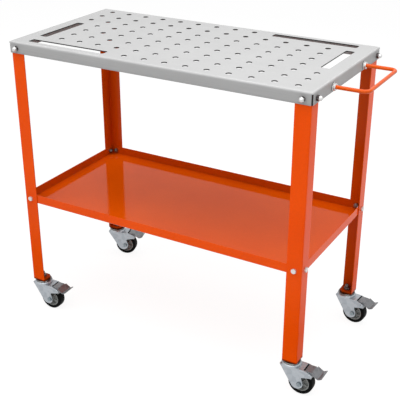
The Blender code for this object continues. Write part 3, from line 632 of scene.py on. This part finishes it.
def slot_places():
    """Middle and half sizes of the four slots, two along the table and two across."""
    places = []
    for sign in (1, -1):
        long_x = sign * (-HALF_X + LONG_SLOT_MARGIN + LONG_SLOT / 2)
        short_y = sign * (-HALF_Y + SHORT_SLOT_MARGIN + SHORT_SLOT / 2)
        places.append((long_x, sign * (-HALF_Y + HOLE_MARGIN_Y), LONG_SLOT / 2, SLOT_WIDTH / 2))
        places.append((sign * (-HALF_X + HOLE_MARGIN_X), short_y, SLOT_WIDTH / 2, SHORT_SLOT / 2))
    return places


def hole_plugs(slots):
    """What the fixture holes take out of the sheet. Those that would meet a slot are left out."""
    plugs = bmesh.new()
    clear = 2 * HOLE_RADIUS
    for column in range(HOLE_COLUMNS):
        for row in range(HOLE_ROWS):
            x = (-HALF_X + HOLE_MARGIN_X) * (1 - 2 * column / (HOLE_COLUMNS - 1))
            y = (-HALF_Y + HOLE_MARGIN_Y) * (1 - 2 * row / (HOLE_ROWS - 1))
            near = [abs(x - sx) < hx + clear and abs(y - sy) < hy + clear for sx, sy, hx, hy in slots]
            if not any(near):
                add_rod(plugs, (x, y, -2 * TOP_SHEET), (x, y, TOP_SHEET), HOLE_RADIUS, facets=28)
    return loose(plugs)


def sheet_part(face):
    """Which of the top's materials a face has: 0 sheet, 1 cut edge, 2 outside of a bend, 3 underside."""
    at = face.center
    normal = face.normal
    seam = CORNER_SEAM + 0.0004
    in_middle = abs(at.x) < HALF_X - 2 * TOP_BEND and abs(at.y) < HALF_Y - 2 * TOP_BEND
    in_seam = abs(at.x) > HALF_X - seam and abs(at.y) > HALF_Y - seam and at.z < -TOP_BEND
    # Painted shade: the walls of holes and slots and the faces in the corner seams
    if abs(normal.z) < 0.6 and (in_middle or in_seam):
        return 1
    # Painted highlight: the outside of the bends
    if not in_middle and 0.1 < normal.z < 0.98 and at.z > -TOP_BEND - 0.0002:
        return 2
    # Painted shade: the underside and the faces that look into the table
    if normal.z < -0.6 and at.z > -2 * TOP_BEND:
        return 3
    if normal.x * at.x < -0.3 * HALF_X or normal.y * at.y < -0.3 * HALF_Y:
        return 3
    return 0


def top_piece():
    top = folded_sheet()
    slots = slot_places()
    combine(top, hole_plugs(slots), "DIFFERENCE")
    for x, y, half_x, half_y in slots:
        outline = []
        for quarter, (sx, sy) in enumerate([(1, 1), (-1, 1), (-1, -1), (1, -1)]):
            corner = (x + sx * (half_x - SLOT_CORNER), y + sy * (half_y - SLOT_CORNER))
            outline += arc(corner, SLOT_CORNER, quarter * math.pi / 2, (quarter + 1) * math.pi / 2, steps=6)
        combine(top, plate(outline, 4 * TOP_SHEET), "DIFFERENCE")
    for sx, sy in CORNERS.values():
        low = Vector((sx * (HALF_X - CORNER_SEAM), sy * (HALF_Y - CORNER_SEAM), -2 * FLANGE_DEPTH))
        high = Vector((sx * (HALF_X + CORNER_SEAM), sy * (HALF_Y + CORNER_SEAM), -TOP_BEND - SEAT_GAP))
        ends = [sorted(pair) for pair in zip(low, high)]
        combine(top, box([pair[0] for pair in ends], [pair[1] for pair in ends]), "DIFFERENCE")
    soften(top, TOP_EDGE)
    mesh = take(top, STEEL)
    for material in (CUT_EDGE_SHADE, BEND, UNDERSIDE_SHADE):
        mesh.materials.append(material)
    for face in mesh.polygons:
        face.material_index = sheet_part(face)
    place = Matrix.Translation(CENTRE + Vector((0, 0, TABLE_HEIGHT)))
    put("top_sheet", mesh, place, "table", "bare_steel", "table_top")


# Fasteners


def hex_bar(flats, low, high, chamfer_low, chamfer_high):
    """A hexagon with its corners turned off at one end or both."""
    radius = flats / math.sqrt(3)
    body = rod((0, 0, low), (0, 0, high), radius, facets=6)
    wide = radius * 1.2
    narrow = flats / 2 * 0.97
    chamfer = (wide - narrow) * 0.5
    cone = [(0, high)]
    cone.append((narrow, high) if chamfer_high else (wide, high))
    if chamfer_high:
        cone.append((wide, high - chamfer))
    if chamfer_low:
        cone.append((wide, low + chamfer))
    cone.append((narrow, low) if chamfer_low else (wide, low))
    cone.append((0, low))
    combine(body, turned(cone, facets=36), "INTERSECT")
    return body


def bolt_mesh(radius, flats, head, nut, grip, material):
    """Bolt with a washer-faced head above z = 0 and its nut below the clamped sheets."""
    nut_top = -grip - 2 * SEAT_GAP
    nut_low = nut_top - nut
    tip = nut_low - BOLT_TIP
    shank = [(0, SEAT_GAP + head / 2), (radius, SEAT_GAP + head / 2), (radius, nut_low)]
    shank += thread(radius, tip + BOLT_PITCH, nut_low, BOLT_PITCH)
    shank += [(radius * 0.75, tip), (0, tip)]
    bolt = turned(shank, facets=24)
    combine(bolt, hex_bar(flats, SEAT_GAP + WASHER_FACE / 2, SEAT_GAP + head, False, True), "UNION")
    rim = flats / 2 * 0.98
    seat = [(0, SEAT_GAP + WASHER_FACE), (rim, SEAT_GAP + WASHER_FACE), (rim, SEAT_GAP), (0, SEAT_GAP)]
    combine(bolt, turned(seat, facets=36), "UNION")
    combine(bolt, hex_bar(flats, nut_low, nut_top, True, True), "UNION")
    soften(bolt, BOLT_EDGE, segments=1, angle=35)
    mesh = take(bolt, material)
    mesh.materials.append(AXLE)
    for face in mesh.polygons:
        face.material_index = int(face.center.z < nut_top + SEAT_GAP)
    return mesh


def cap_bolt_mesh(radius, flats, head, grip):
    """Bolt pushed out from inside, with a domed cap nut above z = 0."""
    under = -grip - 2 * SEAT_GAP
    inside = SEAT_GAP + CAP_NUT_HEX / 2
    crown = SEAT_GAP + CAP_NUT_CROWN
    bolt = rod((0, 0, under - head / 2), (0, 0, inside), radius, facets=24)
    combine(bolt, hex_bar(flats, SEAT_GAP, SEAT_GAP + CAP_NUT_HEX, True, True), "UNION")
    profile = [(0, inside), (CAP_NUT_DOME, inside)]
    profile += arc((0, crown - CAP_NUT_DOME), CAP_NUT_DOME, 0, math.pi / 2, steps=10)
    combine(bolt, turned(profile, facets=36), "UNION")
    combine(bolt, hex_bar(flats, under - head, under, True, False), "UNION")
    soften(bolt, BOLT_EDGE, segments=1, angle=35)
    return shade_flanks(take(bolt, BRIGHT), SEAT_GAP + CAP_NUT_HEX + BOLT_EDGE)


def shade_flanks(mesh, height):
    """The plain side faces of a hexagon, below a height, get a near-black zinc as painted shade on a plated
    nut.
    """
    mesh.materials.append(FLANK_SHADE)
    for face in mesh.polygons:
        if abs(face.normal.z) < 0.5 and 0 < face.center.z < height:
            face.material_index = 1
    return mesh


def nut_mesh(material, washer=0, washer_radius=0):
    """Nut of the handle rod or a caster stem, with or without a washer under it."""
    nut = hex_bar(ROD_NUT_FLATS, washer / 2, ROD_NUT_HEIGHT, washer == 0, True)
    if washer:
        rim = [(0, washer), (washer_radius - WASHER_EDGE, washer), (washer_radius, washer - WASHER_EDGE)]
        rim += [(washer_radius, 0), (0, 0)]
        combine(nut, turned(rim, facets=40), "UNION")
    bore = rod((0, 0, -ROD_NUT_HEIGHT), (0, 0, 2 * ROD_NUT_HEIGHT), ROD_NUT_BORE, facets=28)
    combine(nut, bore, "DIFFERENCE")
    soften(nut, NUT_EDGE, segments=1, angle=35)
    return shade_flanks(take(nut, material), ROD_NUT_HEIGHT / 2)


def fasteners():
    flange_bolt = cap_bolt_mesh(BOLT_RADIUS, BOLT_FLATS, BOLT_HEAD, TOP_SHEET + SEAT_GAP + LEG_SHEET)
    tray_grip = LEG_SHEET + SEAT_GAP + TRAY_SHEET
    tray_bolt = bolt_mesh(BOLT_RADIUS, BOLT_FLATS, BOLT_HEAD, TRAY_NUT, tray_grip, BRIGHT)
    kinds = (("flange_bolt", flange_bolt, 0.0), ("tray_bolt", tray_bolt, TOP_SHEET + SEAT_GAP))
    for corner, (sx, sy) in CORNERS.items():
        side, end = corner.split("_")
        for kind, mesh, inset in kinds:
            for place, along in ((side, (0, sy, 0)), (end, (sx, 0, 0))):
                node = f"{kind}_{corner}_{place}"
                low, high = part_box(node)
                at = (low + high) / 2
                if along[0]:
                    at.x = CENTRE.x + sx * (HALF_X - inset)
                else:
                    at.y = CENTRE.y + sy * (HALF_Y - inset)
                put(node + "_detail", mesh, facing(at, along), "table", "bright_zinc", node)
    handle_nut = nut_mesh(BRIGHT, ROD_WASHER, ROD_WASHER_RADIUS)
    sides = (("outer", 1, HALF_X + SEAT_GAP), ("inner", -1, HALF_X - TOP_SHEET - SEAT_GAP))
    for arm in ("front", "back"):
        for side, along, start in sides:
            node = f"handle_nut_{arm}_{side}"
            low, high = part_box(node)
            at = (low + high) / 2
            at.x = CENTRE.x + start
            put(node + "_detail", handle_nut, facing(at, (along, 0, 0)), "table", "bright_zinc", node)


def handle_piece():
    low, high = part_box("push_handle")
    radius = (high.z - low.z) / 2
    half = (high.y - low.y) / 2 - radius
    middle = (low.z + high.z) / 2
    far = high.x - radius - HANDLE_BEND
    straight = (low.x, low.x + HANDLE_STEP, CENTRE.x + HALF_X + HANDLE_STEP)
    path = [(x, -half) for x in straight]
    path += arc((far, -half + HANDLE_BEND), HANDLE_BEND, -math.pi / 2, 0, steps=12)
    path += arc((far, half - HANDLE_BEND), HANDLE_BEND, 0, math.pi / 2, steps=12)
    path += [(x, half) for x in reversed(straight)]
    curve = bpy.data.curves.new("handle", "CURVE")
    curve.dimensions = "3D"
    curve.bevel_depth = radius
    curve.bevel_resolution = 12
    curve.use_fill_caps = True
    spline = curve.splines.new("POLY")
    spline.points.add(len(path) - 1)
    for point, (x, y) in zip(spline.points, path):
        point.co = (x, CENTRE.y + y, middle, 1)
    handle = curve_mesh(curve)
    smooth(handle, degrees=50)
    put("handle_rod", take(handle, ORANGE_ROD), Matrix.Identity(4), "table", "orange_paint", "push_handle")
    profile = [(0, 0.0002), (0.0032, 0.0002), (0.0046, -HANDLE_PITCH)]
    profile += thread(HANDLE_END_RADIUS, -0.0045, -HANDLE_PITCH, HANDLE_PITCH)
    profile.append((0, -0.0050))
    end = turned(profile, facets=24)
    smooth(end, degrees=30)
    mesh = take(end, BRIGHT)
    for sign, arm in ((-1, "front"), (1, "back")):
        at = (low.x, CENTRE.y + sign * half, middle)
        put(f"handle_end_{arm}", mesh, facing(at, (-1, 0, 0)), "table", "bright_zinc")


# Casters: z = 0 is the floor, and the stem stands over x = y = 0


def stem_mesh():
    """Threaded stem with its bearing cap and, under the fork's crown, the kingpin's head."""
    top = FOOT_TOP + STEM_RISE
    head = FORK_TOP - 0.0028
    profile = [(0, top), (0.0036, top)]
    profile += thread(STEM_RADIUS, FOOT_TOP + 0.0085, top - 0.0010, STEM_PITCH)
    profile += [(STEM_RADIUS, CAP_TOP), (0.0238, CAP_TOP), (CAP_RADIUS, CAP_TOP - 0.0012)]
    profile += [(CAP_RADIUS, CAP_BOTTOM + 0.0006), (0.0244, CAP_BOTTOM), (STEM_RADIUS, CAP_BOTTOM)]
    profile += [(STEM_RADIUS, head), (KINGPIN_RADIUS, head), (KINGPIN_RADIUS, FORK_TOP - 0.0048)]
    profile += [(0.0066, FORK_TOP - 0.0058), (0, FORK_TOP - 0.0058)]
    stem = turned(profile, facets=40)
    smooth(stem, degrees=32)
    return take(stem, STEM)


def fork_outline():
    front = (FORK_FRONT, FORK_TOP)
    boss = (TRAIL - BOSS_LEAD, WHEEL_RADIUS + BOSS_RISE)
    root = (TRAIL + LUG_ROOT_X, WHEEL_RADIUS + LUG_ROOT_Z)
    pivot = (PIVOT_X, PIVOT_Z)
    bridge = (FORK_BRIDGE, FORK_TOP)
    outline = [front]
    start = tangent_angle(front, boss, BOSS_RADIUS, 1) % math.tau
    outline += arc(boss, BOSS_RADIUS, start, math.tau + BOSS_END, steps=20)
    outline += [(root[0] + 0.0012, root[1] - 0.0035), (root[0] + 0.0030, root[1] - 0.0008)]
    start = tangent_angle(root, pivot, LUG_RADIUS, 1) % math.tau
    end = tangent_angle(bridge, pivot, LUG_RADIUS, -1) % math.tau + math.tau
    outline += arc(pivot, LUG_RADIUS, start, end, steps=14)
    outline += [bridge]
    return outline


def fork_mesh():
    """Stamped fork: two cheeks under a crown, with the bores for stem and axle and the pedal's riveted pin."""
    fork = side_plate(fork_outline(), -FORK_HALF_OUT, FORK_HALF_OUT)
    between = box((-0.06, -FORK_HALF_IN, -0.1), (0.09, FORK_HALF_IN, FORK_TOP - FORK_SHEET))
    combine(fork, between, "DIFFERENCE")
    combine(fork, box((0.0418, -FORK_HALF_IN, -0.1), (0.09, FORK_HALF_IN, 0.2)), "DIFFERENCE")
    in_sheet = FORK_TOP - FORK_SHEET / 2
    crown = [(0, CROWN_TOP), (0.0235, CROWN_TOP), (0.0252, CROWN_TOP - 0.0006), (0.0268, CROWN_TOP - 0.0020)]
    crown += [(CROWN_RADIUS, CROWN_TOP - 0.0036), (CROWN_RADIUS, in_sheet), (0, in_sheet)]
    combine(fork, turned(crown, facets=48), "UNION")
    combine(fork, rod((0, 0, 0.07), (0, 0, 0.2), STEM_BORE, facets=28), "DIFFERENCE")
    axle_bore = rod((TRAIL, -0.05, WHEEL_RADIUS), (TRAIL, 0.05, WHEEL_RADIUS), AXLE_BORE, facets=24)
    combine(fork, axle_bore, "DIFFERENCE")
    pin = rod((PIVOT_X, -PIVOT_PIN_HALF, PIVOT_Z), (PIVOT_X, PIVOT_PIN_HALF, PIVOT_Z), PIVOT_PIN, facets=20)
    combine(fork, pin, "UNION")
    for side in (-1, 1):
        start = (PIVOT_X, side * RIVET_LOW, PIVOT_Z)
        end = (PIVOT_X, side * RIVET_TOP, PIVOT_Z)
        combine(fork, rod(start, end, RIVET_RADIUS, facets=20, end_radius=RIVET_TOP_RADIUS), "UNION")
    soften(fork, FORK_EDGE, segments=2, angle=34)
    return take(fork, PLATE)


def wheel_turned(profile, facets):
    obj = turned(profile, facets, True)
    obj.data.transform(Matrix.Rotation(math.pi / 2, 4, "X"))
    return obj


def tyre_mesh():
    """Tyre with a bead, a rounded shoulder and a slightly crowned tread."""
    flank = 0.0318
    shoulder = 0.0062
    bulge = 0.00405
    profile = [(TYRE_INNER, 0.0119), (0.0285, 0.0128), (0.0302, TYRE_HALF), (flank, TYRE_HALF)]
    for degrees in range(15, 91, 15):
        turn = math.radians(degrees)
        profile.append((flank + bulge * math.sin(turn), TYRE_HALF - shoulder + shoulder * math.cos(turn)))
    profile += [(WHEEL_RADIUS - 0.00015, 0.0008), (WHEEL_RADIUS, 0.0)]
    profile += [(radius, -height) for radius, height in reversed(profile[:-1])]
    tyre = wheel_turned(profile, facets=64)
    smooth(tyre, degrees=40)
    return take(tyre, RUBBER)


def core_mesh():
    """Hub with a boss, a dished web, ribs and a rim for the tyre."""
    upper = [(0.0044, 0.0167), (0.0080, 0.0167), (0.0090, 0.0157), (0.0096, 0.0060), (0.0112, 0.0044)]
    upper += [(0.0200, 0.0044), (0.0218, 0.0060), (0.0226, 0.0104), (0.0234, 0.0112)]
    upper += [(0.0256, 0.0112), (0.0260, 0.0106)]
    profile = upper + [(radius, -height) for radius, height in reversed(upper)]
    core = wheel_turned(profile, facets=60)
    for side in (-1, 1):
        for rib in range(RIBS):
            middle = side * RIB_OUT
            low = (RIB_START, middle - RIB_HALF_DEPTH, -RIB_HALF)
            shape = box(low, (RIB_END, middle + RIB_HALF_DEPTH, RIB_HALF))
            shape.data.transform(Matrix.Rotation(rib * math.tau / RIBS + RIB_TURN, 4, "Y"))
            combine(core, shape, "UNION")
    soften(core, CORE_EDGE, segments=1, angle=40)
    return take(core, CORE)


def axle_mesh():
    """Axle bolt along -Z from its head, with its nut on the far cheek."""
    return bolt_mesh(BOLT_RADIUS, AXLE_FLATS, AXLE_HEAD, AXLE_NUT, 2 * FORK_HALF_OUT, AXLE)


def strip_outline(points, thickness):
    """Outline of a bent strip whose upper side follows the points."""
    lower = []
    for index, (x, z) in enumerate(points):
        normals = []
        for first, second in ((index - 1, index), (index, index + 1)):
            if first >= 0 and second < len(points):
                run = points[second][0] - points[first][0]
                rise = points[second][1] - points[first][1]
                length = math.hypot(run, rise)
                normals.append(Vector((rise / length, -run / length)))
        middle = sum(normals, Vector((0, 0))).normalized()
        offset = middle * (thickness / middle.dot(normals[0]))
        lower.append((x + offset.x, z + offset.y))
    return points + lower[::-1]


def bent(corners, radius, steps):
    """A line through the corners with each inner one rounded."""
    points = [corners[0]]
    for before, corner, after in zip(corners, corners[1:], corners[2:]):
        corner = Vector(corner)
        first = corner + (Vector(before) - corner).normalized() * radius
        last = corner + (Vector(after) - corner).normalized() * radius
        for step in range(steps + 1):
            t = step / steps
            at = first * (1 - t) ** 2 + corner * 2 * t * (1 - t) + last * t ** 2
            points.append((at.x, at.y))
    points.append(corners[-1])
    return points


def pedal_mesh():
    """Brake pedal about its pivot: a bent strip with a narrow neck, two ears and the shoe between them."""
    front = PEDAL_FRONT - PIVOT_X
    corners = [(front, PEDAL_RISE), (PEDAL_BEND_X, PEDAL_RISE)]
    corners += [(PEDAL_DIP_X, PEDAL_DIP_Z), (PEDAL_TIP_X, PEDAL_TIP_Z)]
    line = bent(corners, radius=PEDAL_ROUND, steps=4)
    pedal = side_plate(strip_outline(line, PEDAL_SHEET), -PEDAL_HALF, PEDAL_HALF)
    for side in (-1, 1):
        faces = sorted([side * PEDAL_NECK, side * 2 * PEDAL_HALF])
        combine(pedal, box((-0.05, faces[0], -0.03), (PEDAL_FLARE_X, faces[1], 0.03)), "DIFFERENCE")
    ear = [(front / 2, 0.011), (-0.005, 0), (-0.0030, -0.0060), (0.0, SHOE_LOW), (SHOE_LENGTH, SHOE_LOW)]
    ear += [(0.006, 0), (PEDAL_BEND_X, 0.011)]
    for side in (-1, 1):
        faces = sorted([side * PEDAL_NECK, side * 0.0141])
        combine(pedal, side_plate(ear, faces[0], faces[1]), "UNION")
    combine(pedal, box((0.0006, -SHOE_HALF, SHOE_LOW), (SHOE_LENGTH, SHOE_HALF, -0.005)), "UNION")
    combine(pedal, rod((0, -0.05, 0), (0, 0.05, 0), PEDAL_BORE, facets=20), "DIFFERENCE")
    soften(pedal, PEDAL_EDGE, segments=2, angle=34)
    return take(pedal, PEDAL)


def casters():
    stem = stem_mesh()
    stem_nut = nut_mesh(STEM)
    fork = fork_mesh()
    tyre = tyre_mesh()
    core = core_mesh()
    axle = axle_mesh()
    pedal = pedal_mesh()
    for corner in CORNERS:
        name = "caster_" + corner
        roll = JOINTS[name + "_wheel_roll"]
        press = JOINTS[name + "_brake_press"]
        low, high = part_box(name + "_stem")
        under = Matrix.Translation(((low.x + high.x) / 2, (low.y + high.y) / 2, 0))
        turn = Matrix.Rotation(math.atan2(-roll["axis"][0], roll["axis"][1]), 4, "Z")
        at_axle = Matrix.Translation(roll["pos_m"]) @ turn
        at_pivot = Matrix.Translation(press["pos_m"]) @ turn
        low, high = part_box(name + "_stem_nut")
        on_foot = Matrix.Translation(((low.x + high.x) / 2, (low.y + high.y) / 2, low.z))
        put(name + "_stem_detail", stem, under, "table", "zinc_plate", name + "_stem")
        put(name + "_stem_nut_detail", stem_nut, on_foot, "table", "bright_zinc", name + "_stem_nut")
        put(name + "_fork_detail", fork, under @ turn, name + "_swivel", "zinc_plate", name + "_fork")
        head = under @ turn @ facing((TRAIL, -FORK_HALF_OUT, WHEEL_RADIUS), (0, -1, 0))
        put(name + "_axle_detail", axle, head, name + "_swivel", "bright_zinc", name + "_axle")
        put(name + "_tyre_detail", tyre, at_axle, name + "_wheel", "black_rubber", name + "_tyre")
        put(name + "_core_detail", core, at_axle, name + "_wheel", "grey_core", name + "_wheel_core")
        put(name + "_pedal_detail", pedal, at_pivot, name + "_brake", "zinc_plate", name + "_brake_pedal")


# Pieces that keep their solids: rounded edges and paint


def dress_solids():
    for name, obj in frame["nodes"].items():
        if name.startswith(("leg_", "foot_plate_", "lower_tray")):
            obj.data.materials.clear()
            obj.data.materials.append(ORANGE_TRAY if name == "lower_tray" else ORANGE_LEG)
            weld = obj.modifiers.new("weld", "WELD")
            weld.merge_threshold = NEAR_POINT
            round_edges(obj, PAINTED_EDGE, segments=2, angle=PAINTED_ANGLE)
            smooth(obj, PAINTED_ANGLE)
            even_normals(obj)


top_piece()
fasteners()
handle_piece()
casters()
dress_solids()


# Studio

FLOOR_HALF = 9
FLOOR_LOW = -0.02
FLOOR_TOP = -0.0004
FLOOR_GLOW = 1.15
FLOOR_GLOW_SHARE = 0.78
WORLD_LIGHT = 0.49
# Name, place, aim, width, height and power
LAMPS = (
    ("front_high", (-0.3, -1.9, 3.4), (0, 0, 0.5), 5.2, 3.2, 43.0),
    ("front_mid", (-0.3, -2.4, 2.1), (0, 0, 0.5), 3.6, 2.0, 5.0),
    ("softbox", (0.0, -0.95, 2.9), (0, -0.55, 0.4), 3.0, 1.6, 17.0),
    ("right", (2.6, -0.5, 2.0), (0.3, 0, 0.5), 2.8, 2.4, 3.0),
    ("overhead", (0.5, 0.2, 2.6), (0.15, 0, 0.8), 2.4, 2.4, 33.0),
    ("backdrop", (-0.7, 3.2, 1.9), (-0.2, 0, 0.8), 4.2, 2.2, 2.0),
)
CAMERA_AZIMUTH = math.radians(30.063)
CAMERA_ELEVATION = math.radians(25.463)
CAMERA_DISTANCE = 2.5369
CAMERA_RIGHT = 0.0245
CAMERA_DOWN = 0.4702
FOCAL_PIXELS = 853.8
PICTURE_PIXELS = 400
SENSOR = 36


def seen_white(tree, lit, background):
    """What the camera, a mirror or glass sees takes the background, and all else takes the lit shader."""
    path = tree.nodes.new("ShaderNodeLightPath")
    seen = path.outputs["Is Camera Ray"]
    for ray in ("Is Glossy Ray", "Is Transmission Ray"):
        either = tree.nodes.new("ShaderNodeMath")
        either.operation = "MAXIMUM"
        tree.links.new(seen, either.inputs[0])
        tree.links.new(path.outputs[ray], either.inputs[1])
        seen = either.outputs[0]
    mix = tree.nodes.new("ShaderNodeMixShader")
    tree.links.new(seen, mix.inputs[0])
    tree.links.new(lit, mix.inputs[1])
    tree.links.new(background, mix.inputs[2])
    return mix.outputs[0]


def studio_floor():
    """A pale floor that looks white, with a faint shadow of the table on it."""
    floor = box((-FLOOR_HALF, -FLOOR_HALF, FLOOR_LOW), (FLOOR_HALF, FLOOR_HALF, FLOOR_TOP))
    floor.name = "studio_floor"
    n = Nodes("studio_floor")
    n.use(n.tones(n.noise(scale=0.8, detail=2.0), grey(0.72), grey(0.76)), "Base Color")
    n.set(Roughness=0.8, Specular_IOR_Level=0.0)
    lit = n.shader.outputs[0]
    glow = n.add("ShaderNodeEmission", Color=(*WHITE, 1), Strength=FLOOR_GLOW)
    pale = n.tree.nodes.new("ShaderNodeMixShader")
    pale.inputs[0].default_value = FLOOR_GLOW_SHARE
    n.link(lit, pale.inputs[1])
    n.link(glow.outputs[0], pale.inputs[2])
    surface = n.tree.nodes["Material Output"].inputs["Surface"]
    n.link(seen_white(n.tree, lit, pale.outputs[0]), surface)
    floor.data.materials.append(n.material)


def studio_light():
    world = bpy.data.worlds.new("studio")
    bpy.context.scene.world = world
    world.use_nodes = True
    tree = world.node_tree
    soft = tree.nodes["Background"]
    white = tree.nodes.new("ShaderNodeBackground")
    for shader, strength in ((soft, WORLD_LIGHT), (white, 1.0)):
        shader.inputs["Color"].default_value = (*WHITE, 1)
        shader.inputs["Strength"].default_value = strength
    surface = tree.nodes["World Output"].inputs["Surface"]
    tree.links.new(seen_white(tree, soft.outputs[0], white.outputs[0]), surface)
    for name, place, aim, wide, high, power in LAMPS:
        light = bpy.data.lights.new(name, "AREA")
        light.shape = "RECTANGLE"
        light.size = wide
        light.size_y = high
        light.energy = power
        obj = bpy.data.objects.new(name, light)
        bpy.context.scene.collection.objects.link(obj)
        obj.location = place
        obj.rotation_euler = (Vector(aim) - Vector(place)).to_track_quat("-Z", "Y").to_euler()
        obj.visible_camera = False


def camera():
    aim = CENTRE + Vector((CAMERA_RIGHT, 0, TABLE_HEIGHT - CAMERA_DOWN))
    level = math.cos(CAMERA_ELEVATION)
    back = Vector((
        math.sin(CAMERA_AZIMUTH) * level,
        -math.cos(CAMERA_AZIMUTH) * level,
        math.sin(CAMERA_ELEVATION),
    ))
    data = bpy.data.cameras.new("camera")
    data.sensor_width = SENSOR
    data.sensor_fit = "HORIZONTAL"
    data.lens = FOCAL_PIXELS / PICTURE_PIXELS * SENSOR
    obj = bpy.data.objects.new("camera", data)
    bpy.context.scene.collection.objects.link(obj)
    obj.location = aim + back * CAMERA_DISTANCE
    obj.rotation_euler = (-back).to_track_quat("-Z", "Y").to_euler()
    bpy.context.scene.camera = obj
    bpy.context.scene.view_settings.view_transform = "Standard"


studio_floor()
studio_light()
camera()
